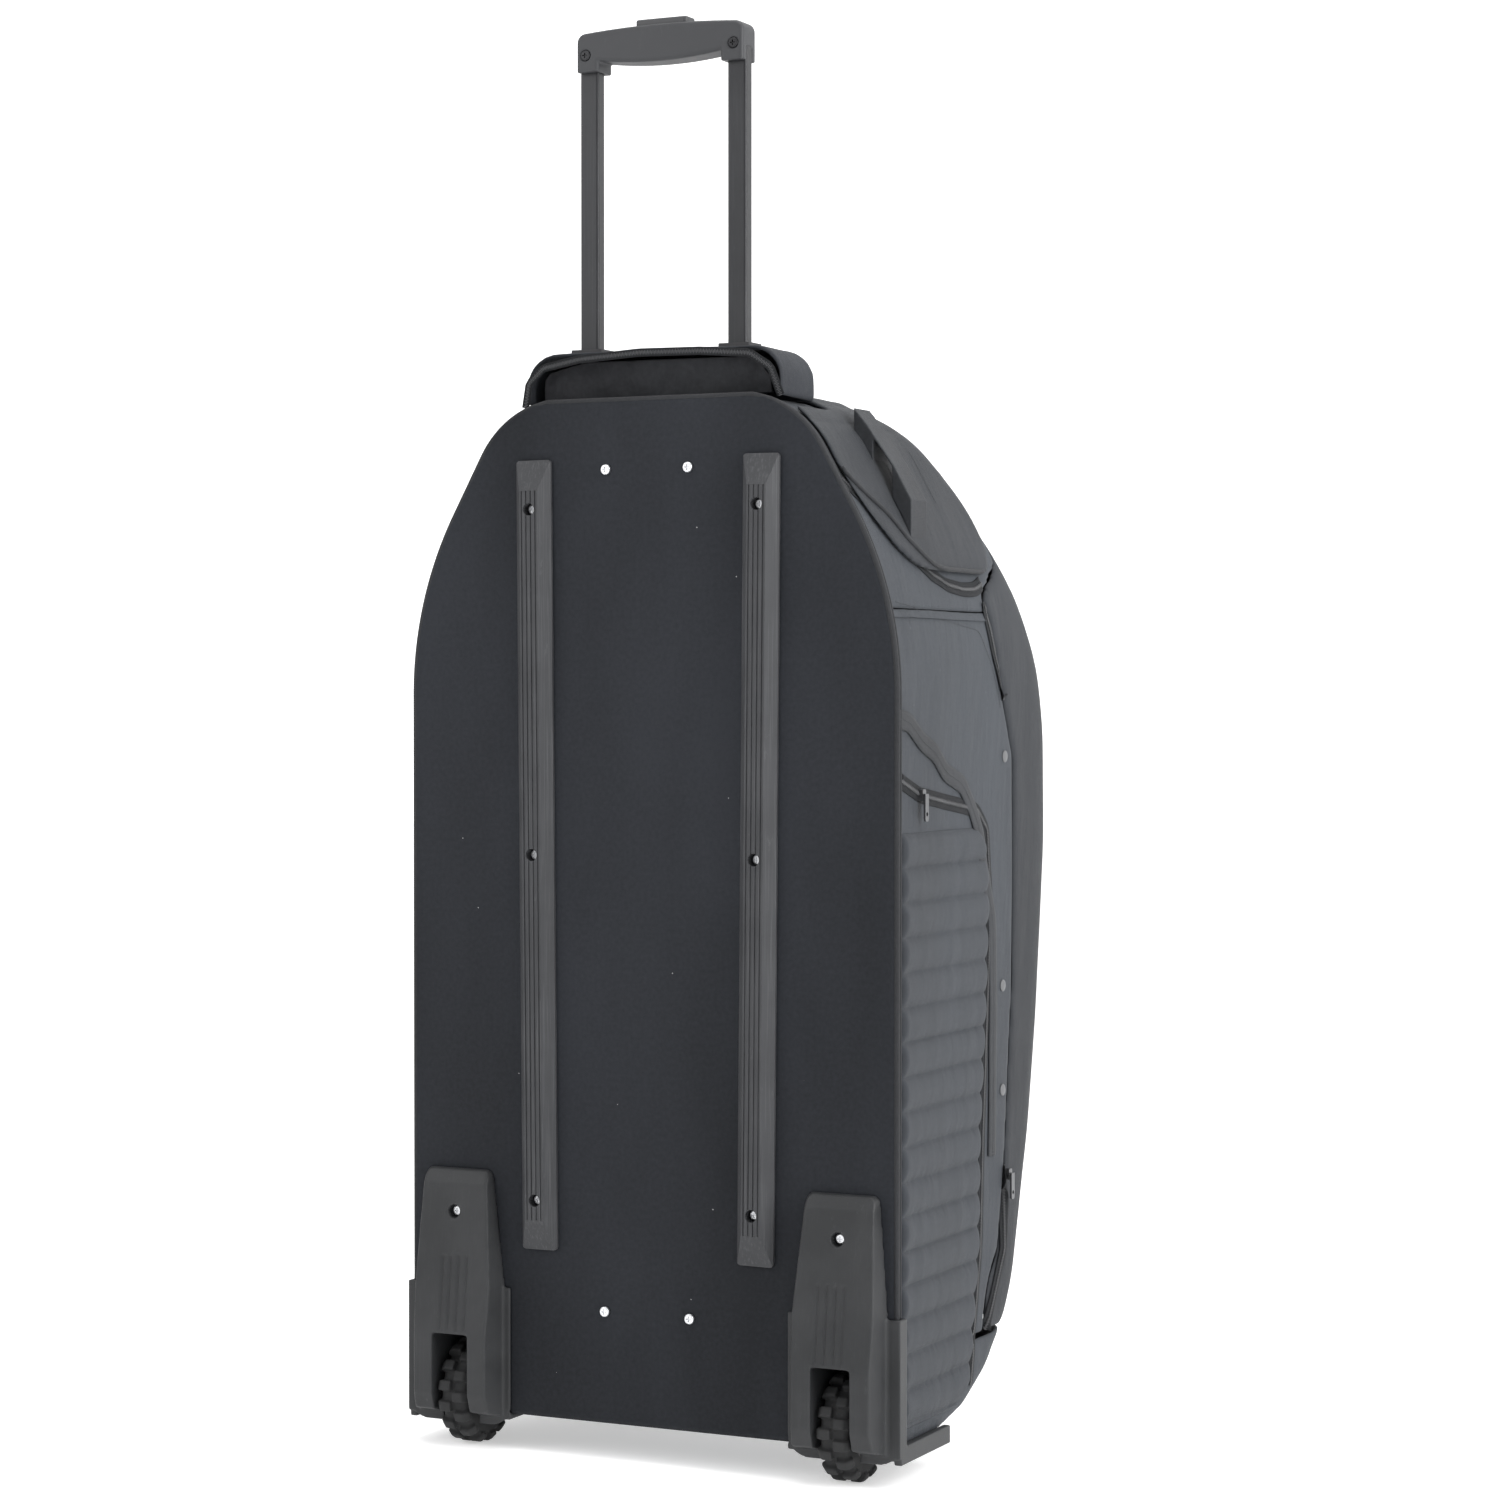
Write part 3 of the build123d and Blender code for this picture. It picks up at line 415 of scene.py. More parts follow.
# ---------------------------------------------------------------- screws and nuts
# Bright zinc pan-head screws with a cross recess; the grip's two are blackened.
zinc = plastic("bright_zinc", (0.72, 0.73, 0.75), (0.5, 0.5, 0.52), 0.5, 0.0, 0.36, 0.1, 1.0)
paint_nodes(zinc, "rail_screws", "housing_screws", "handle_frame_screws", "tee_nuts", "button_springs",
            *both("axle"))
black_steel = plastic("black_steel", (0.02, 0.02, 0.022), (0.1, 0.1, 0.105), 0.5, 0.0, 0.4, 0.1, 0.6)
paint_nodes(black_steel, "grip_screws")

# ---------------------------------------------------------------- slide rails
# Ribbed polypropylene strips that the bag is dragged on, so their tops are
# scuffed lengthwise. Three screws hold each to the board.
rail_look = plastic("rail_plastic", (0.032, 0.033, 0.036), (0.11, 0.112, 0.118),
                    0.4, 0.35, 0.55, 0.4, 0.0, 0.28)
paint_nodes(rail_look, *both("rail"))

# ---------------------------------------------------------------- wheel housings and stand feet
# Injection-moulded corner guards with soft edges, a recessed screw, four
# grooves and an arch for the wheel. Two feet hold up the front.


def copied_mesh(name):
    """A merged, free copy of a CAD node's mesh."""
    source = bmesh.new()
    source.from_mesh(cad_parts[name].data)
    bmesh.ops.remove_doubles(source, verts=source.verts, dist=1e-6)
    mesh = bpy.data.meshes.new(name + "_copy")
    source.to_mesh(mesh)
    source.free()
    return mesh


def apply_modifiers(piece):
    """Turn a piece with modifiers into a plain mesh."""
    graph = bpy.context.evaluated_depsgraph_get()
    plain = bpy.data.meshes.new_from_object(piece.evaluated_get(graph))
    piece.modifiers.clear()
    piece.data = plain
    return piece


def remeshed(name, source, voxel):
    piece = add_object(name, copied_mesh(source))
    remesh = piece.modifiers.new("voxels", "REMESH")
    remesh.mode = "VOXEL"
    remesh.voxel_size = voxel
    return apply_modifiers(piece)


def relax(piece, passes, factor=0.5):
    shape = bmesh.new()
    shape.from_mesh(piece.data)
    for _ in range(passes):
        bmesh.ops.smooth_vert(shape, verts=shape.verts, factor=factor, use_axis_x=True, use_axis_y=True,
                              use_axis_z=True)
    shape.to_mesh(piece.data)
    shape.free()
    return piece


def moulded(name, source, voxel, passes):
    """A CAD piece with the soft edges that a mould leaves."""
    return relax(remeshed(name, source, voxel), passes)


guard_look = plastic("guard_plastic", (0.02, 0.021, 0.0225), (0.085, 0.086, 0.09),
                     0.4, 0.06, 0.5, 0.45, 0.0, 0.28)
for side in ("left", "right"):
    guard = moulded("corner_guard_" + side, "wheel_housing_" + side, 1.35 * MM, 2)
    finish_piece(guard, "bag", guard_look, ["wheel_housing_" + side])
paint_nodes(guard_look, *both("stand_foot"))

# ---------------------------------------------------------------- wheels
# Solid rubber tyres with two staggered rows of knobs, on moulded hubs with
# sintered bushes. They turn on steel axles in the housings.
tyre_look = plastic("tyre_rubber", (0.018, 0.0185, 0.0195), (0.07, 0.068, 0.065),
                    0.6, 0.0, 0.75, 0.8, 0.0, 0.25)
hub_look = plastic("hub_plastic", (0.03, 0.03, 0.031), (0.09, 0.09, 0.092), 0.4)
bush_look = plastic("bush_metal", (0.5, 0.38, 0.2), (0.3, 0.24, 0.14), 0.4, 0.0, 0.4, 0.1, 1.0)
for side in ("left", "right"):
    tyre = moulded("knobbly_tyre_" + side, "tyre_" + side, 1.1 * MM, 3)
    finish_piece(tyre, "wheel_" + side, tyre_look, ["tyre_" + side])
paint_nodes(hub_look, *both("wheel_hub"))
paint_nodes(bush_look, *both("wheel_bush"))

# ---------------------------------------------------------------- pull handle
# Dark lacquered aluminium tubes and a moulded grip with a long push button.
tube_look = plastic("lacquered_tube", (0.016, 0.0165, 0.0185), (0.06, 0.061, 0.066),
                    0.2, 0.2, 0.36, 0.12, 0.3)
paint_nodes(tube_look, *both("tube"))
grip_look = plastic("grip_plastic", (0.034, 0.035, 0.038), (0.075, 0.077, 0.082),
                    0.3, 0.0, 0.5, 0.35, 0.0, 0.3)
grip = moulded("handle_grip", "grip", 0.9 * MM, 3)
finish_piece(grip, "handle", grip_look, ["grip"])
button_look = plastic("button_plastic", (0.04, 0.041, 0.044), (0.08, 0.08, 0.084), 0.3, 0.0, 0.45, 0.3)
paint_nodes(button_look, "grip_button")

# ---------------------------------------------------------------- cloth walls
# Polyester sewn to a foam layer. Side, top and foot panels are fixed; the front
# lid and the top flap unzip. Seams pull in and the cloth waves between them.
SIDE_FACE = BAG_HALF - 4 * MM
PROFILE = [(36, 160), (48, 222), (76, 280), (112, 326), (160, 354), (220, 374), (300, 394), (430, 420),
           (585, 438), (700, 436), (775, 420), (850, 386), (910, 352), (960, 320), (1000, 280), (1022, 220)]


def between(z, values):
    """Value at height z (mm) along a straight-sided table."""
    for (low, first), (high, second) in zip(values, values[1:]):
        if z <= high:
            return first + (second - first) * max(z - low, 0) / (high - low)
    return values[-1][1]


def eased(z, values):
    """The same table with its corners rounded over a span of heights."""
    reach = 34.0
    total = sum(between(z + reach * step / 4, values) for step in range(-4, 5))
    return total / 9


WIDTHS = [(z, half_width(z * MM) / MM) for z, _ in PROFILE]


def rounded_off(place):
    """Take the straight facets out of the plain solid's front and shoulders."""
    z = place.z / MM
    deep = place.y - back_face
    ahead = min(max(deep / (between(z, PROFILE) * MM), 0), 1) ** 6
    if 90 < z < 960:
        place.y += (eased(z, PROFILE) - between(z, PROFILE)) * MM * ahead
    grown = half_width(min(place.z, BAG_TOP - 4 * MM)) / MM - between(z, WIDTHS)
    across = min(abs(place.x) / (between(z, WIDTHS) * MM), 1) ** 6
    place.x += grown * MM * across * (1 if place.x > 0 else -1)


def sewn(name, source, voxel, passes, folds, seed, stretch=(1.0, 1.0, 1.0)):
    """A cloth panel: the plain solid with rounded rims and slow folds."""
    piece = relax(remeshed(name, source, voxel), passes)
    shape = bmesh.new()
    shape.from_mesh(piece.data)
    shape.normal_update()
    for point in shape.verts:
        rounded_off(point.co)
        where = Vector((point.co.x * stretch[0], point.co.y * stretch[1], point.co.z * stretch[2]))
        slow = noise.noise(where * 6.0 + Vector((seed, 0, 0)))
        quick = noise.noise(where * 17.0 + Vector((0, seed, 0)))
        point.co += point.normal * folds * (0.7 * slow + 0.35 * quick)
    shape.to_mesh(piece.data)
    shape.free()
    return relax(piece, 2)


side_look = cloth("side_cloth", (0.018, 0.021, 0.026), (0.036, 0.041, 0.049), lint=0.25, crease=0.6,
                  sheen=0.05, gloss=0.3)
lid_look = cloth("lid_cloth", (0.011, 0.0125, 0.0155), (0.022, 0.0245, 0.029), lint=0.25, crease=0.6,
                 sheen=0.05, gloss=0.28)
panels = {}
for side in ("left", "right"):
    panels[side] = sewn("side_cloth_" + side, "side_panel_" + side, 3.2 * MM, 6, 2.2 * MM, 3.0,
                        (1.0, 1.6, 0.5))
    finish_piece(panels[side], "bag", side_look, ["side_panel_" + side])
panels["foot"] = sewn("foot_cloth", "bottom_panel", 3.4 * MM, 6, 1.2 * MM, 5.0)
finish_piece(panels["foot"], "bag", side_look, ["bottom_panel"])
panels["top"] = sewn("top_cloth", "top_panel", 3.0 * MM, 5, 1.2 * MM, 7.0)
finish_piece(panels["top"], "bag", side_look, ["top_panel"])
panels["lid"] = sewn("front_lid_cloth", "front_lid", 4.0 * MM, 8, 3.0 * MM, 9.0, (1.2, 1.2, 0.6))
finish_piece(panels["lid"], "front_lid", lid_look, ["front_lid"])
panels["flap"] = sewn("top_flap_cloth", "top_flap", 2.6 * MM, 5, 2.0 * MM, 11.0, (0.8, 1.6, 0.8))
finish_piece(panels["flap"], "top_flap", lid_look, ["top_flap"])

# ---------------------------------------------------------------- piping
# Woven binding round the edge of the back, over a cord, with a second row
# where the side cloth is sewn to it.


def outline(inset, depth, count=150):
    """Points round the back's edge, from the foot at the left over the top to the right."""
    foot_turn = 24 * MM
    run = []
    for step in range(count + 1):
        z = BAG_FOOT + foot_turn + (BAG_TOP - inset - BAG_FOOT - foot_turn) * (step / count) ** 0.8
        run.append((half_width(min(z + inset * 0.4, BAG_TOP)) - inset, z))
    right = [Vector((x, back_face + depth, z)) for x, z in run]
    left = [Vector((-p.x, p.y, p.z)) for p in reversed(right)]
    return right + left


def even(points, pitch):
    """Points spaced evenly along a run of points."""
    lengths = [0.0]
    for first, second in zip(points, points[1:]):
        lengths.append(lengths[-1] + (second - first).length)
    count = max(int(lengths[-1] / pitch), 1)
    spaced, place = [], 0
    for step in range(count + 1):
        goal = lengths[-1] * step / count
        while place < len(points) - 2 and lengths[place + 1] < goal:
            place += 1
        span = lengths[place + 1] - lengths[place] or 1.0
        spaced.append(points[place].lerp(points[place + 1], (goal - lengths[place]) / span))
    return spaced


def tube_piece(name, points, radius, sides=10):
    """A closed round cord swept along points."""
    rings, faces = [], []
    for index, point in enumerate(points):
        ahead = points[min(index + 1, len(points) - 1)]
        behind = points[max(index - 1, 0)]
        along = (ahead - behind).normalized()
        first = along.orthogonal() if abs(along.y) > 0.95 else along.cross(Vector((0, 1, 0))).normalized()
        second = along.cross(first).normalized()
        for side in range(sides):
            turn = 2 * pi * side / sides
            rings.append(point + radius * (cos(turn) * first.normalized() + sin(turn) * second))
    for index in range(len(points) - 1):
        for side in range(sides):
            a, b = index * sides + side, index * sides + (side + 1) % sides
            faces.append((a, b, b + sides, a + sides))
    faces.append(tuple(reversed(range(sides))))
    last = (len(points) - 1) * sides
    faces.append(tuple(range(last, last + sides)))
    piece = add_object(name, mesh_of(name, rings, faces))
    shape = bmesh.new()
    shape.from_mesh(piece.data)
    bmesh.ops.recalc_face_normals(shape, faces=shape.faces)
    shape.to_mesh(piece.data)
    shape.free()
    return piece


piping_look = cloth("binding", (0.009, 0.0095, 0.011), (0.022, 0.023, 0.026), threads=1500.0, lint=0.2,
                    crease=0.2, sheen=0.05, gloss=0.3)
edge_cord = tube_piece("edge_piping", even(outline(2.4 * MM, 3.4 * MM), 5 * MM), 3.0 * MM)
finish_piece(edge_cord, "bag", piping_look, ["base_piping"])
seam_cord = tube_piece("seam_piping", even(outline(4.0 * MM, 13.5 * MM), 5 * MM), 2.2 * MM)
finish_piece(seam_cord, "bag", piping_look, [])

# ---------------------------------------------------------------- things laid on the cloth
# Zip tapes, teeth, stitches and bands are laid on the finished cloth: each run
# of points is pulled to the nearest cloth and turned to face out of it.


def cloth_tree(*names):
    shape = bmesh.new()
    for name in names:
        shape.from_mesh(panels[name].data)
    tree = BVHTree.FromBMesh(shape)
    shape.free()
    return tree


body_cloth = cloth_tree("left", "right", "top", "lid", "foot")
flap_cloth = cloth_tree("flap")


def laid(tree, points, pitch, lift, side=1):
    """Even (point, along, out) places on the cloth; side -1 gives the left-hand run."""
    run = [Vector((x * side, y, z)) * MM + Vector((0, back_face, ground)) for x, y, z in points]
    places = []
    for point in even(run, pitch):
        found, out, _, _ = tree.find_nearest(point)
        middle = Vector((0, back_face + 170 * MM, found.z - 60 * MM))
        if out.dot(found - middle) < 0:
            out = -out
        places.append([found + out * lift, out])
    for _ in range(3):
        mixed = [places[0]]
        for before, here, after in zip(places, places[1:], places[2:]):
            point = (before[0] + here[0] * 2 + after[0]) / 4
            mixed.append([point, (before[1] + here[1] * 2 + after[1]).normalized()])
        places = mixed + [places[-1]]
    result = []
    for index, (point, out) in enumerate(places):
        ahead = places[min(index + 1, len(places) - 1)][0] - places[max(index - 1, 0)][0]
        result.append((point, ahead.normalized(), out))
    return result


def closed(name, points, faces):
    piece = add_object(name, mesh_of(name, points, faces))
    shape = bmesh.new()
    shape.from_mesh(piece.data)
    bmesh.ops.recalc_face_normals(shape, faces=shape.faces)
    shape.to_mesh(piece.data)
    shape.free()
    return piece


def ribbon(name, places, width, thick):
    """A flat closed band along places, with slightly rounded edges."""
    ring = ((-0.5, 0.0), (-0.47, 0.8), (-0.3, 1.0), (0.3, 1.0), (0.47, 0.8), (0.5, 0.0), (0.3, -0.4),
            (-0.3, -0.4))
    points, faces = [], []
    for point, along, out in places:
        across = along.cross(out).normalized()
        for aside, up in ring:
            points.append(point + across * aside * width + out * up * thick)
    count = len(ring)
    for index in range(len(places) - 1):
        for step in range(count):
            a, b = index * count + step, index * count + (step + 1) % count
            faces.append((a, b, b + count, a + count))
    faces.append(tuple(range(count)))
    faces.append(tuple(range((len(places) - 1) * count, len(places) * count)))
    return closed(name, points, faces)


def copies_group():
    """Copies of one object at points, turned by each point's own angles."""
    tree = bpy.data.node_groups.new("copies at points", "GeometryNodeTree")
    sockets = {}
    face = tree.interface
    face.new_socket("Geometry", in_out="INPUT", socket_type="NodeSocketGeometry")
    sockets["Object"] = face.new_socket("Object", in_out="INPUT", socket_type="NodeSocketObject").identifier
    sockets["Look"] = face.new_socket("Look", in_out="INPUT", socket_type="NodeSocketMaterial").identifier
    face.new_socket("Geometry", in_out="OUTPUT", socket_type="NodeSocketGeometry")
    came = tree.nodes.new("NodeGroupInput")
    goes = tree.nodes.new("NodeGroupOutput")
    source = tree.nodes.new("GeometryNodeObjectInfo")
    turn = tree.nodes.new("GeometryNodeInputNamedAttribute")
    turn.data_type = "FLOAT_VECTOR"
    turn.inputs["Name"].default_value = "turn"
    euler = tree.nodes.new("FunctionNodeEulerToRotation")
    copies = tree.nodes.new("GeometryNodeInstanceOnPoints")
    real = tree.nodes.new("GeometryNodeRealizeInstances")
    painted = tree.nodes.new("GeometryNodeSetMaterial")
    tree.links.new(came.outputs["Geometry"], copies.inputs["Points"])
    tree.links.new(came.outputs["Object"], source.inputs["Object"])
    tree.links.new(source.outputs["Geometry"], copies.inputs["Instance"])
    tree.links.new(turn.outputs["Attribute"], euler.inputs["Euler"])
    tree.links.new(euler.outputs["Rotation"], copies.inputs["Rotation"])
    tree.links.new(copies.outputs["Instances"], real.inputs["Geometry"])
    tree.links.new(real.outputs["Geometry"], painted.inputs["Geometry"])
    tree.links.new(came.outputs["Look"], painted.inputs["Material"])
    tree.links.new(painted.outputs["Geometry"], goes.inputs["Geometry"])
    return tree, sockets


COPIES, COPIES_SOCKETS = copies_group()


def unit_block(name, length, width, height):
    """A small block with worn edges; x runs along the run, z out of the cloth."""
    shape = bmesh.new()
    bmesh.ops.create_cube(shape, size=1.0)
    bmesh.ops.scale(shape, vec=(length, width, height), verts=shape.verts)
    bmesh.ops.bevel(shape, geom=shape.edges[:], offset=min(length, width, height) * 0.22, segments=1,
                    affect="EDGES")
    mesh = bpy.data.meshes.new(name)
    shape.to_mesh(mesh)
    shape.free()
    return mesh


def repeated(name, places, mesh, look, aside=0.0):
    """The block's mesh copied at every place; aside staggers them to each side in turn."""
    points, turns = [], []
    for index, (point, along, out) in enumerate(places):
        across = out.cross(along).normalized()
        points.append(point + across * aside * (1 if index % 2 else -1))
        matrix = Matrix((along, across, along.cross(across))).transposed()
        turns.append(matrix.to_euler())
    piece = add_object(name, mesh_of(name, points, []))
    turned = piece.data.attributes.new("turn", "FLOAT_VECTOR", "POINT")
    for index, turn in enumerate(turns):
        turned.data[index].vector = turn
    unit = bpy.data.objects.new(name + "_unit", mesh)
    modifier = piece.modifiers.new("copies", "NODES")
    modifier.node_group = COPIES
    modifier[COPIES_SOCKETS["Object"]] = unit
    modifier[COPIES_SOCKETS["Look"]] = look
    apply_modifiers(piece)
    bpy.data.objects.remove(unit)
    return piece


thread_look = plastic("sewing_thread", (0.04, 0.042, 0.046), (0.08, 0.082, 0.088), 0.2, 0.0, 0.7, 0.2)
coil_look = plastic("zip_coil", (0.035, 0.036, 0.039), (0.1, 0.1, 0.105), 0.4, 0.0, 0.42, 0.2)
tape_look = cloth("zip_tape", (0.006, 0.0065, 0.0075), (0.014, 0.015, 0.017), threads=1600.0,
                  lint=0.2, crease=0.2)
stitch = unit_block("stitch", 2.4 * MM, 0.55 * MM, 0.4 * MM)
tooth = unit_block("tooth", 0.9 * MM, 3.4 * MM, 1.3 * MM)


def zip_run(name, tree, points, body, side, lift=0.4):
    """A zip's tape with its row of teeth."""
    places = laid(tree, points, 4 * MM, lift * MM, side)
    finish_piece(ribbon(name + "_tape", places, 15 * MM, 0.6 * MM), body, tape_look, [])
    rows = laid(tree, points, 1.5 * MM, (lift + 1.0) * MM, side)
    finish_piece(repeated(name + "_teeth", rows, tooth, coil_look, 0.5 * MM), body, coil_look, [],
                 False)


def stitch_run(name, tree, points, body, side, lift=0.3):
    rows = laid(tree, points, 3.6 * MM, lift * MM, side)
    finish_piece(repeated(name, rows, stitch, thread_look), body, thread_look, [], False)


# ---------------------------------------------------------------- handle hood
# A soft cover over the tube mouths, its mouth facing back with a coil zip round
# the rim, and a loose lining cloth crumpled in it behind the tubes.
HOOD_RIM = [(-138, 1020), (-134, 1044), (-118, 1058), (-79, 1065), (-13, 1069), (52, 1068), (105, 1064),
            (127, 1050), (138, 1023)]
hood_look = cloth("hood_cloth", (0.016, 0.0175, 0.021), (0.034, 0.037, 0.043), lint=0.3, crease=0.6)
hood_piece = relax(remeshed("hood_cloth", "handle_hood", 2.2 * MM), 5)
hood_shape = bmesh.new()
hood_shape.from_mesh(hood_piece.data)
hood_shape.normal_update()
for point in hood_shape.verts:
    slow = noise.noise(point.co * 16.0 + Vector((4.0, 0, 0)))
    point.co += point.normal * 1.6 * MM * slow
hood_shape.to_mesh(hood_piece.data)
hood_shape.free()
finish_piece(relax(hood_piece, 2), "bag", hood_look, ["handle_hood"])
rim_places = []
rim_run = [Vector((x * MM, back_face + 9 * MM, ground + z * MM)) for x, z in HOOD_RIM]
for here in even(rim_run, 1.5 * MM):
    rim_places.append(here)
rim_rows = []
for index, here in enumerate(rim_places):
    along = (rim_places[min(index + 1, len(rim_places) - 1)] - rim_places[max(index - 1, 0)]).normalized()
    rim_rows.append((here - Vector((0, 0.6 * MM, 0)), along, Vector((0, -1, 0))))
finish_piece(repeated("hood_rim_teeth", rim_rows, tooth, coil_look, 0.5 * MM), "bag", coil_look, [],
             False)
finish_piece(ribbon("hood_rim_tape", rim_rows[::3], 8 * MM, 0.5 * MM), "bag", tape_look, [])


def hood_lining():
    """A thin loose cloth across the hood's mouth, folded between its ends."""
    columns, rows = 150, 22
    points, faces = [], []
    for row in range(rows + 1):
        for column in range(columns + 1):
            x = -122 + 244 * column / columns
            top = between(x, [(-138, 1022), (-118, 1054), (-79, 1063), (105, 1062), (138, 1022)])
            z = 1027 + (top - 1027) * row / rows
            slow = noise.noise(Vector((x * 0.035, z * 0.02, 2.0)))
            fold = slow + 0.5 * noise.noise(Vector((x * 0.09, z * 0.06, 8)))
            points.append(Vector((x * MM, back_face + (21 + 4.5 * fold) * MM, ground + z * MM)))
    wide = columns + 1
    for row in range(rows):
        for column in range(columns):
            first = row * wide + column
            faces.append((first, first + 1, first + wide + 1, first + wide))
    piece = add_object("hood_lining", mesh_of("hood_lining", points, faces))
    thick = piece.modifiers.new("thickness", "SOLIDIFY")
    thick.thickness = 0.6 * MM
    return apply_modifiers(piece)


lining_look = cloth("lining_cloth", (0.012, 0.012, 0.014), (0.026, 0.027, 0.03), threads=1500.0, lint=0.2,
                    crease=0.3)
lining = finish_piece(hood_lining(), "bag", lining_look, [])

# ---------------------------------------------------------------- quilted side pads
# Foam pads sewn through in level channels, full between the seams and pinched
# at them, with a turned edge all round.
PAD_EDGE = [(52, 150), (76, 180), (196, 203), (313, 207), (430, 220), (540, 228), (590, 222), (611, 200)]
PAD_BACK = 17.0
PAD_LOW, PAD_HIGH, CHANNEL = 52.0, 611.0, 32.6


def quilted_pad(side):
    """A closed pad; its outer face is worked out over a level grid."""
    rows, columns = 380, 60
    outer, inner, faces = [], [], []
    for row in range(rows + 1):
        z = PAD_LOW + (PAD_HIGH - PAD_LOW) * row / rows
        reach = between(z, PAD_EDGE)
        for column in range(columns + 1):
            y = PAD_BACK + (reach - PAD_BACK) * column / columns
            rim = min(y - PAD_BACK, reach - y, z - PAD_LOW, PAD_HIGH - z)
            turned = sqrt(min(max(rim, 0) / 5.0, 1.0))
            channel = abs(sin(pi * (PAD_HIGH - z) / CHANNEL))
            puff = 0.4 + 5.2 * channel ** 0.6
            wrinkle = noise.noise(Vector((y * 0.05, z * 0.012, side * 3.0)))
            pucker = noise.noise(Vector((y * 0.22, z * 0.05, side * 9.0))) * (1 - channel) * 0.5
            high = turned * (puff + 0.5 * wrinkle + pucker)
            base = SIDE_FACE / MM - 0.5
            outer.append(Vector((side * (base + high + 0.4) * MM, back_face + y * MM, ground + z * MM)))
            inner.append(Vector((side * (base - 0.6) * MM, back_face + y * MM, ground + z * MM)))
    wide = columns + 1
    shift = len(outer)
    for row in range(rows):
        for column in range(columns):
            a = row * wide + column
            faces.append((a, a + 1, a + wide + 1, a + wide))
            faces.append((a + shift, a + wide + shift, a + wide + 1 + shift, a + 1 + shift))
    ring = [c for c in range(wide)] + [r * wide + columns for r in range(1, rows + 1)]
    ring += [rows * wide + c for c in range(columns - 1, -1, -1)] + [r * wide for r in range(rows - 1, 0, -1)]
    for first, second in zip(ring, ring[1:] + ring[:1]):
        faces.append((first, first + shift, second + shift, second))
    return closed("quilted_pad_" + ("right" if side > 0 else "left"), outer + inner, faces)


pad_look = cloth("pad_cloth", (0.016, 0.0185, 0.023), (0.028, 0.032, 0.039), lint=0.2, crease=0.35,
                 sheen=0.05, gloss=0.34)
for side, sign in (("left", -1), ("right", 1)):
    pad = finish_piece(quilted_pad(sign), "bag", pad_look, ["side_pad_" + side])

# ---------------------------------------------------------------- carry strap
# A stiff webbing loop sewn down at both ends to the top flap.
webbing_look = cloth("webbing", (0.011, 0.012, 0.014), (0.027, 0.029, 0.033), threads=700.0, lint=0.2,
                     crease=0.2, sheen=0.05, gloss=0.3)
strap = moulded("strap_webbing", "carry_strap", 1.0 * MM, 3)
finish_piece(strap, "top_flap", webbing_look, ["carry_strap"])

# ---------------------------------------------------------------- zips, band, seams and snaps
# The top opening's long zip, a zip on each side pocket and one down each front
# corner, a wavy bartacked band over the pocket, and three snaps.
TOP_ZIP = [(205, 12, 956), (213, 29, 943), (219, 46, 931), (228, 69, 914), (240, 87, 894), (247, 108, 880),
           (253, 132, 868), (256, 163, 860), (257, 199, 856), (257, 229, 857), (255, 252, 863)]
POCKET_ZIP = [(258, 17, 660), (258, 59, 646), (258, 200, 628), (258, 226, 608), (258, 234, 538),
              (258, 227, 440), (258, 214, 313), (258, 210, 196), (258, 185, 67)]
CORNER_ZIP = [(256, 250, 835), (258, 246, 813), (258, 251, 780), (258, 262, 755), (258, 273, 736)]
LOWER_ZIP = [(258, 275, 271), (258, 275, 246), (258, 273, 187), (256, 228, 114)]
BAND = [(258, 5, 719), (258, 33, 715), (258, 64, 696), (258, 93, 686), (258, 120, 667), (258, 162, 654),
        (258, 188, 629), (258, 208, 603), (258, 216, 575), (258, 238, 520), (258, 243, 430), (258, 238, 285)]
PANEL_SEAM = [(256, 28, 829), (257, 120, 815), (257, 220, 804), (258, 242, 770), (258, 262, 728)]
SIDE_SEAM = [(257, 10, 820), (257, 90, 820), (257, 170, 820), (257, 244, 820)]
FRONT_SEAM = [(250, 300, 700), (250, 302, 560), (250, 300, 420), (248, 290, 280), (246, 270, 200)]
SNAPS = [(272, 679), (268, 451), (268, 347)]
snap_look = plastic("snap_paint", (0.09, 0.092, 0.096), (0.16, 0.162, 0.168), 0.3, 0.0, 0.45, 0.1)


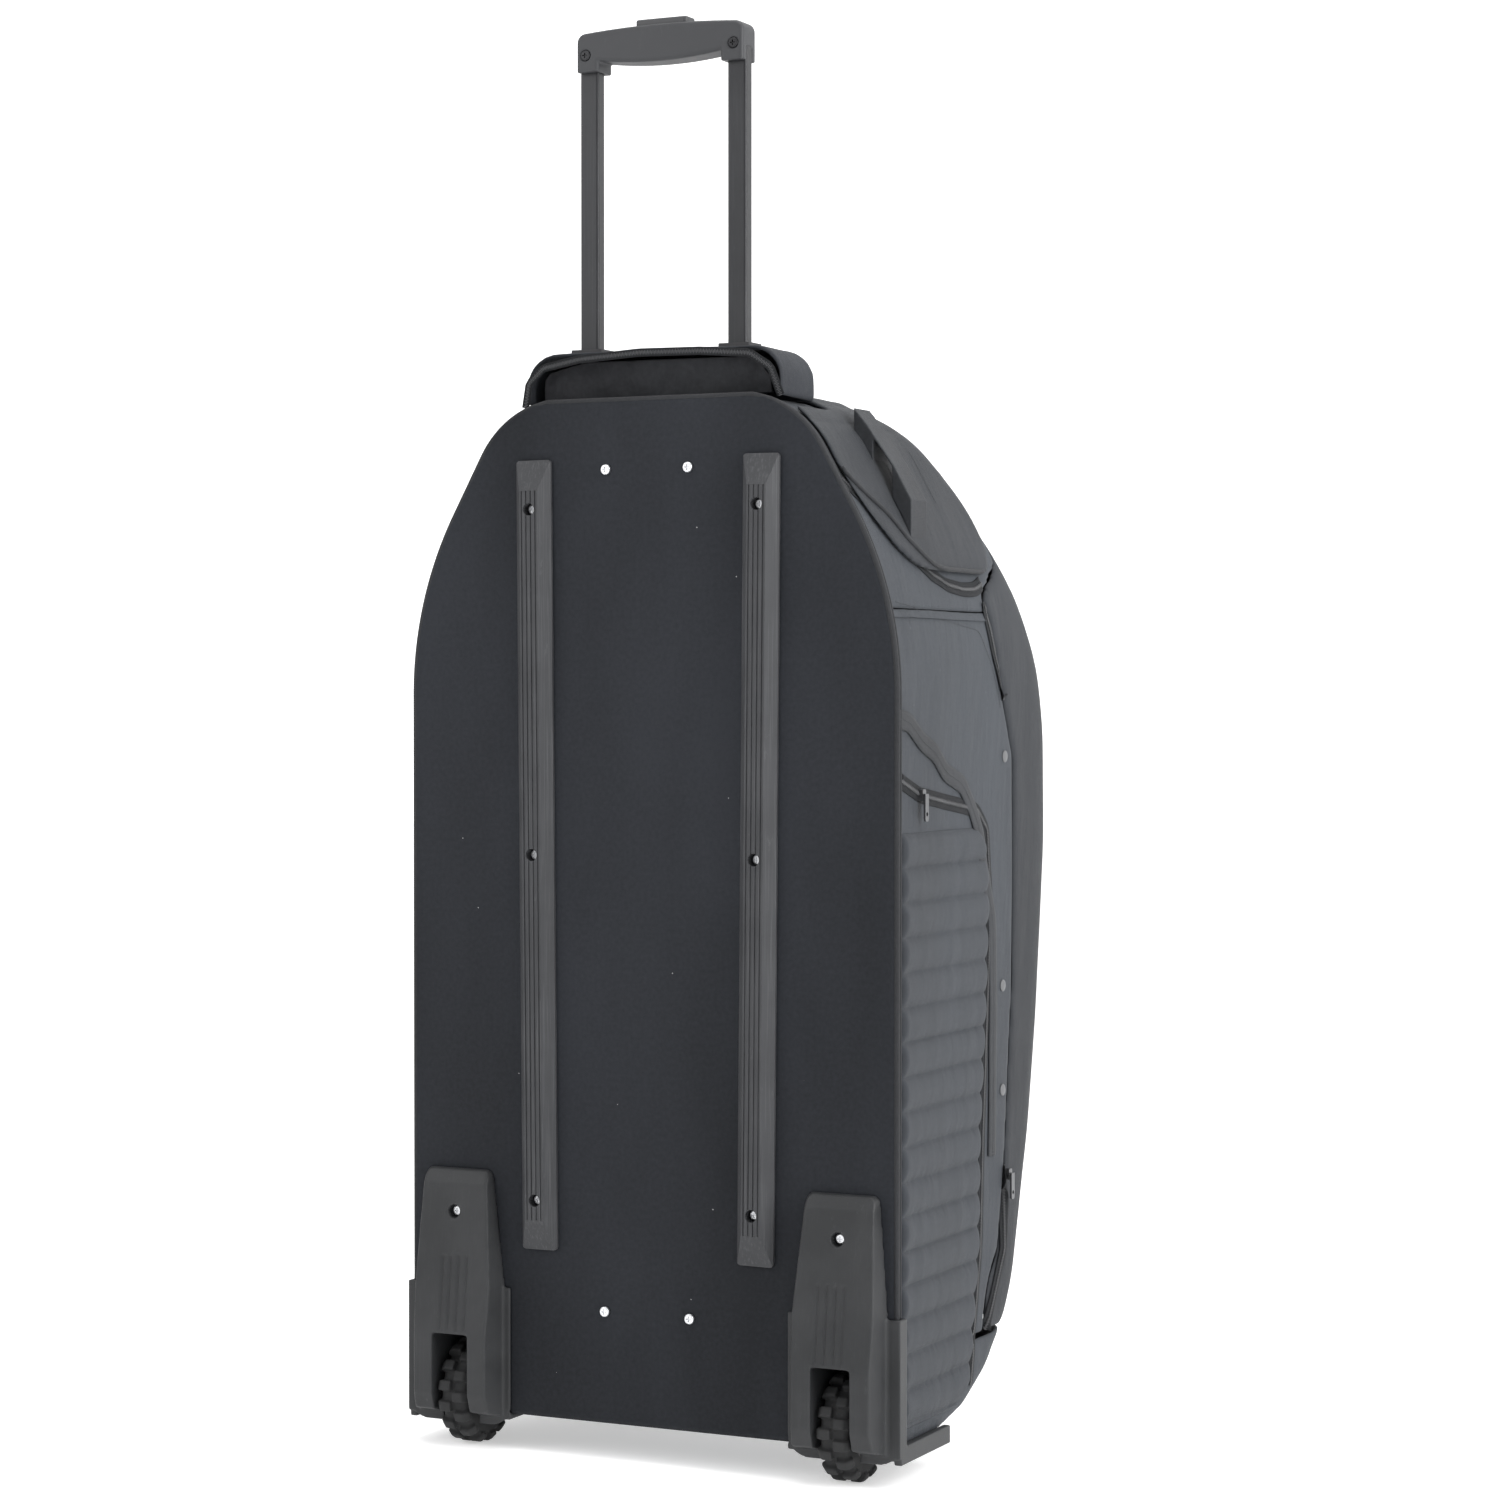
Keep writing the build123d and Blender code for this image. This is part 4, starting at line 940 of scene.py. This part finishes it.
def snap(name, tree, place, side):
    """A low domed cap pressed through the cloth."""
    shape = bmesh.new()
    bmesh.ops.create_uvsphere(shape, u_segments=28, v_segments=14, radius=6 * MM)
    bmesh.ops.scale(shape, vec=(1, 1, 0.3), verts=shape.verts)
    mesh = bpy.data.meshes.new(name)
    shape.to_mesh(mesh)
    shape.free()
    piece = add_object(name, mesh)
    target = Vector((side * 262 * MM, back_face + place[0] * MM, ground + place[1] * MM))
    found, out, _, _ = tree.find_nearest(target)
    if out.x * side < 0:
        out = -out
    turn = out.to_track_quat("Z", "Y").to_matrix().to_4x4()
    mesh.transform(Matrix.Translation(found + out * 0.6 * MM) @ turn)
    return piece


for side, sign in (("left", -1), ("right", 1)):
    below = [(x + 3, y, z - 8) for x, y, z in TOP_ZIP]
    zip_run("top_zip_" + side, body_cloth, below, "bag", sign)
    rim_path = [place[0] for place in laid(flap_cloth, TOP_ZIP, 4 * MM, 0.6 * MM, sign)]
    finish_piece(tube_piece("flap_rim_" + side, rim_path, 2.4 * MM), "top_flap", piping_look, [])
    zip_run("pocket_zip_" + side, body_cloth, POCKET_ZIP, "bag", sign)
    zip_run("corner_zip_" + side, body_cloth, CORNER_ZIP, "bag", sign)
    zip_run("lower_zip_" + side, body_cloth, LOWER_ZIP, "bag", sign)
    band = ribbon("wavy_band_" + side, laid(body_cloth, BAND, 4 * MM, 0.8 * MM, sign), 19 * MM, 1.4 * MM)
    finish_piece(band, "bag", webbing_look, [])
    seam = ribbon("side_seam_" + side, laid(body_cloth, SIDE_SEAM, 4 * MM, 0.2 * MM, sign), 9 * MM, 0.8 * MM)
    finish_piece(seam, "bag", side_look, [])
    stitch_run("panel_stitches_" + side, body_cloth, PANEL_SEAM, "bag", sign)
    stitch_run("band_stitches_" + side, body_cloth, BAND, "bag", sign, 2.4)
    stitch_run("front_stitches_" + side, cloth_tree("lid"), FRONT_SEAM, "front_lid", sign)
    for number, spot in enumerate(SNAPS):
        cap = snap("snap_%d_%s" % (number, side), body_cloth, spot, sign)
        finish_piece(cap, "bag", snap_look, [])
    for number, deep in enumerate((128, 168, 208)):
        ridge = [(x, deep, between(x, [(60, 1020), (150, 1010), (215, 950), (240, 900)])) for x in
                 (70, 110, 150, 190, 222)]
        stitch_run("flap_ridge_%d_%s" % (number, side), flap_cloth, ridge, "top_flap", sign, 0.4)

metal_look = plastic("gunmetal", (0.13, 0.132, 0.138), (0.3, 0.3, 0.31), 0.5, 0.1, 0.35, 0.1, 1.0)
for kind in ("pocket_slider", "pocket_pull", "main_slider", "main_pull"):
    paint_nodes(metal_look, *both(kind))
